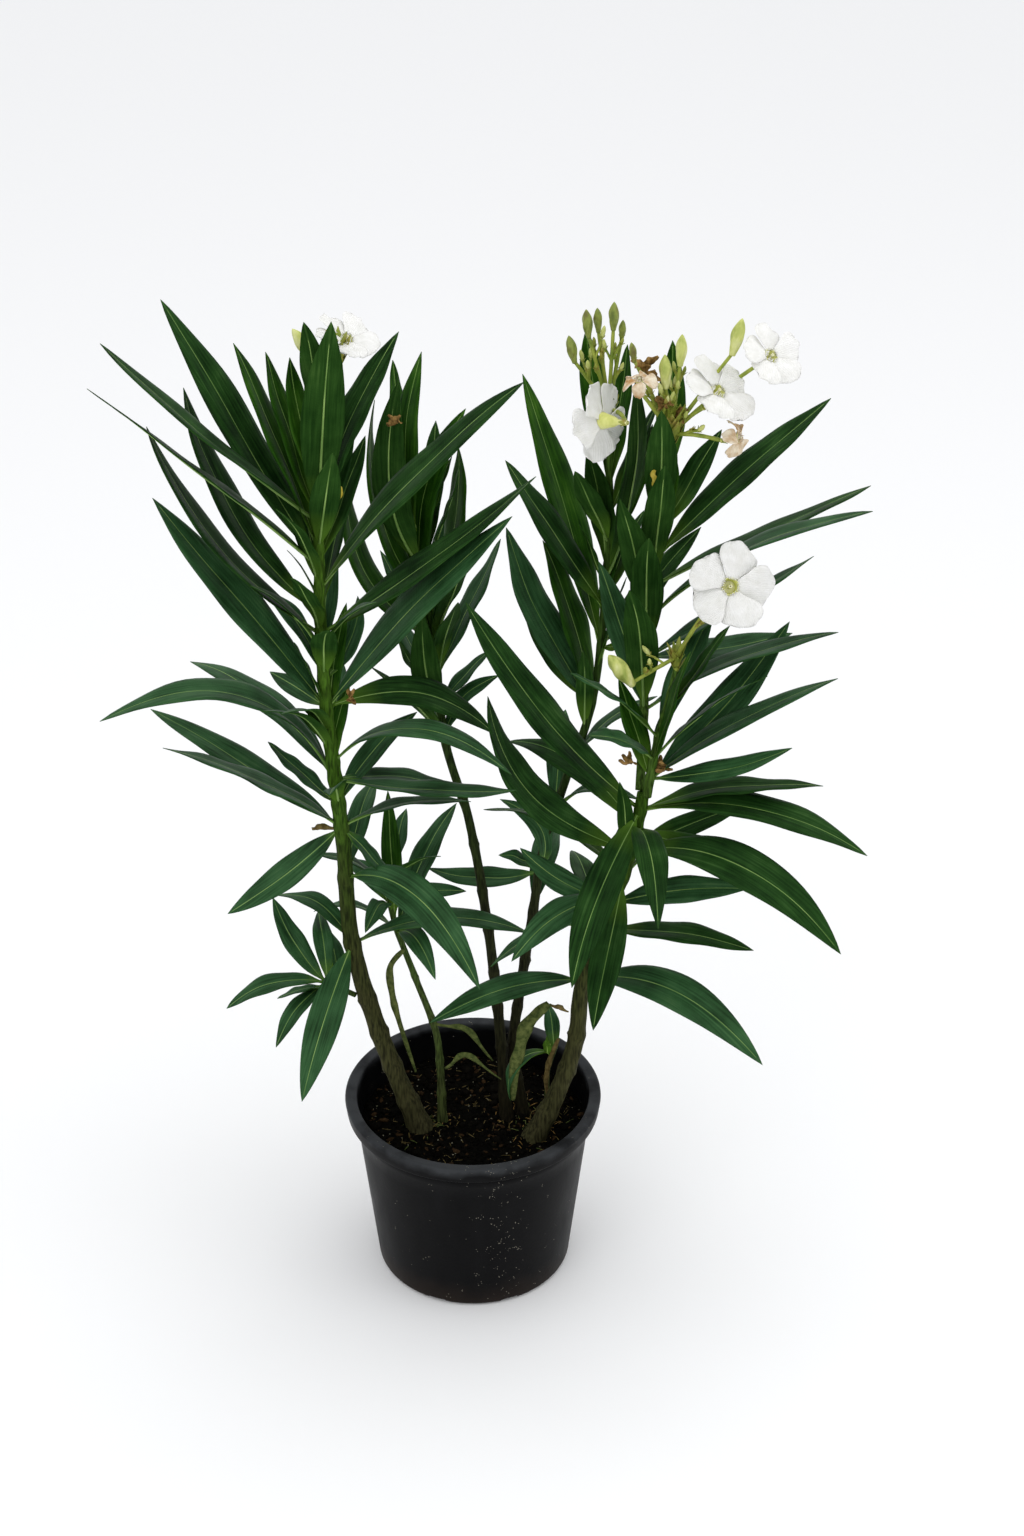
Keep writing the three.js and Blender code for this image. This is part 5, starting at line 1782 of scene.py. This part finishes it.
def add_dry_strip(heap, places, width, curl, slot):
    """A dried leaf or strip. The more it curls, the more its edges close over its middle."""
    line = smooth_line(places, 8)
    u, v = tube_frames(line)
    share = np.linspace(0, 1, len(line))[:, None]
    x = np.linspace(-1, 1, 7)[None, :]
    half = width / 2 * np.maximum(np.sin(math.pi * (0.1 + 0.86 * share)) ** 0.7, 0.16)
    half = half * (1 + 0.12 * np.sin(share * 23))
    angle = curl * x + 0.5 * np.sin(share * 9)
    top = line[:, None, :] + u[:, None, :] * (half * np.sin(angle) / max(curl, 0.5))[..., None]
    top = top + v[:, None, :] * (half * (1 - np.cos(angle)) / max(curl, 0.5))[..., None]
    add_sheet(heap, top, STRIP_THICKNESS, (slot, slot))


def add_withered(heap, place, size, draw):
    """A spent flower or bract: a few crumpled strips that point all ways from one spot."""
    place = np.array(place, float)
    for _ in range(WITHERED_STRIPS):
        aim = unit(draw.normal(0, 1, 3) + UP * 0.3)
        bent = unit(aim + draw.normal(0, 0.7, 3))
        end = place + aim * size * 0.4 + bent * size * 0.5
        add_dry_strip(heap, [place, place + aim * size * 0.4, end], size * 0.45, 1.3, WITHERED)


def add_litter(heap, cane, draw):
    """Dry fibres that lie on the compost, most of them close round the foot of a cane."""
    middle = centre_at(cane, SOIL_LEVEL)
    for _ in range(LITTER_EACH):
        turn, lie = draw.uniform(0, 2 * math.pi, 2)
        reach = radius_at(cane, SOIL_LEVEL) + draw.gamma(*LITTER_SPREAD)
        x, y = middle[0] + reach * math.cos(turn), middle[1] + reach * math.sin(turn)
        start = np.array([x, y, float(soil_height(x, y)) + 0.3])
        end = start + np.array([math.cos(lie), math.sin(lie), 0.12]) * draw.uniform(*LITTER_LENGTH)
        line = bend(start, (start + end) / 2 + UP * draw.uniform(0.3, 1.8), end, 4)
        slot = int(draw.choice([DRY_LEAF, DRY_STEM, WITHERED]))
        add_tube(heap, line, np.linspace(0.42, 0.2, 5), 5, slot)


DRY_STRIPS = [
    [[[-49, 0, 273], [-59, -2, 258], [-58, -4, 234], [-54, -5, 215], [-42, -6, 168]], 7, 1.5, DRY_LEAF],
    [[[56, -22, 241], [39, -28, 221], [32, -30, 193], [30, -30, 160]], 13, 1.2, DRY_LEAF],
    [[[63, -18, 207], [56, -14, 181], [54, -12, 165], [56, -10, 145]], 5, 1.4, DRY_STEM],
    [[[56, -20, 239], [70, -22, 234]], 4, 1.0, DRY_STEM],
    [[[-20, -10, 174], [-5, -14, 188], [21, -20, 172]], 5, 0.9, DRY_LEAF],
    [[[-27, 0, 207], [-5, -4, 204], [15, -8, 180]], 5, 0.9, DRY_LEAF],
    [[[-84, -34, 667], [-83, -35, 655], [-84, -34, 645]], 4, 0.8, YELLOWED],
    [[[123, 0, 655], [122, -1, 648], [124, 0, 640]], 4, 0.8, YELLOWED],
    [[[-110, -24, 391], [-104, -24, 392], [-90, -22, 390]], 5, 1.2, DRY_STEM],
]
WITHERED_BITS = [
    [[115, 10, 720], 15], [[-49, 20, 678], 9], [[109, -36, 452], 9], [[131, -36, 449], 10],
    [[116, 0, 524], 10], [[-80, -34, 502], 8], [[139, 6, 690], 10], [[128, 2, 700], 9],
]
DRY_FINISHES = [
    soil_finish("dry_leaf", paint(56, 68, 34), paint(96, 104, 58), 0.85),
    soil_finish("dry_stem", paint(78, 66, 38), paint(116, 102, 62), 0.85),
    soil_finish("withered", paint(88, 66, 34), paint(164, 130, 78), 0.85),
    soil_finish("yellowed", paint(176, 158, 52), paint(206, 186, 86), 0.6),
]
heap = Heap()
draw = np.random.default_rng(61)
for places, width, curl, slot in DRY_STRIPS:
    add_dry_strip(heap, places, width, curl, slot)
for place, size in WITHERED_BITS:
    add_withered(heap, place, size, draw)
for cane in CANES:
    if cane["points"][0][2] <= SOIL_LEVEL:
        add_litter(heap, cane, draw)
place_piece(make_piece("dry_bits", heap, DRY_FINISHES), [])

# %% [markdown]
# ## Floor and light
# The plant stands on a plain pale floor. It was photographed in soft daylight that came mostly from above
# and a little from the front, with no hard shadow. A bright pale world gives that, and three large
# lamps add the soft shine on the leaves. Small lamps would give sharp points of light instead.

# %% Floor
FLOOR_SIZE = 30.0


def add_floor():
    half = FLOOR_SIZE / 2
    corners = [(-half, -half, 0), (half, -half, 0), (half, half, 0), (-half, half, 0)]
    mesh = bpy.data.meshes.new("floor")
    mesh.from_pydata(corners, [], [(0, 1, 2, 3)])
    mesh.materials.append(new_finish("floor_paint", paint(252, 252, 252), 0.9, 0.05))
    floor = bpy.data.objects.new("floor", mesh)
    bpy.context.scene.collection.objects.link(floor)


add_floor()

# %% Lamps and world
LAMPS = [
    ("lamp_front", (-0.9, -1.6, 1.9), 1.4, 7),
    ("lamp_top", (0.3, 0.1, 2.2), 1.6, 8),
    ("lamp_side", (1.8, -0.5, 1.2), 1.2, 3),
]
PLANT_MIDDLE = np.array([0.0, 0.0, 0.45])
SKY = paint(250, 251, 253)
SKY_STRENGTH = 0.92


def add_lamp(name, place, size, watts):
    data = bpy.data.lights.new(name, "AREA")
    data.shape = "DISK"
    data.size = size
    data.energy = watts
    lamp = bpy.data.objects.new(name, data)
    lamp.location = place
    aim = PLANT_MIDDLE - np.array(place)
    lamp.rotation_euler = (
        math.atan2(math.hypot(aim[0], aim[1]), -aim[2]),
        0,
        math.atan2(aim[1], aim[0]) - math.pi / 2,
    )
    bpy.context.scene.collection.objects.link(lamp)


for lamp in LAMPS:
    add_lamp(*lamp)
world = bpy.data.worlds.new("daylight")
world.use_nodes = True
world.node_tree.nodes["Background"].inputs["Color"].default_value = SKY
world.node_tree.nodes["Background"].inputs["Strength"].default_value = SKY_STRENGTH
bpy.context.scene.world = world
bpy.context.scene.view_settings.view_transform = "Standard"
print("lamps:", len(LAMPS))
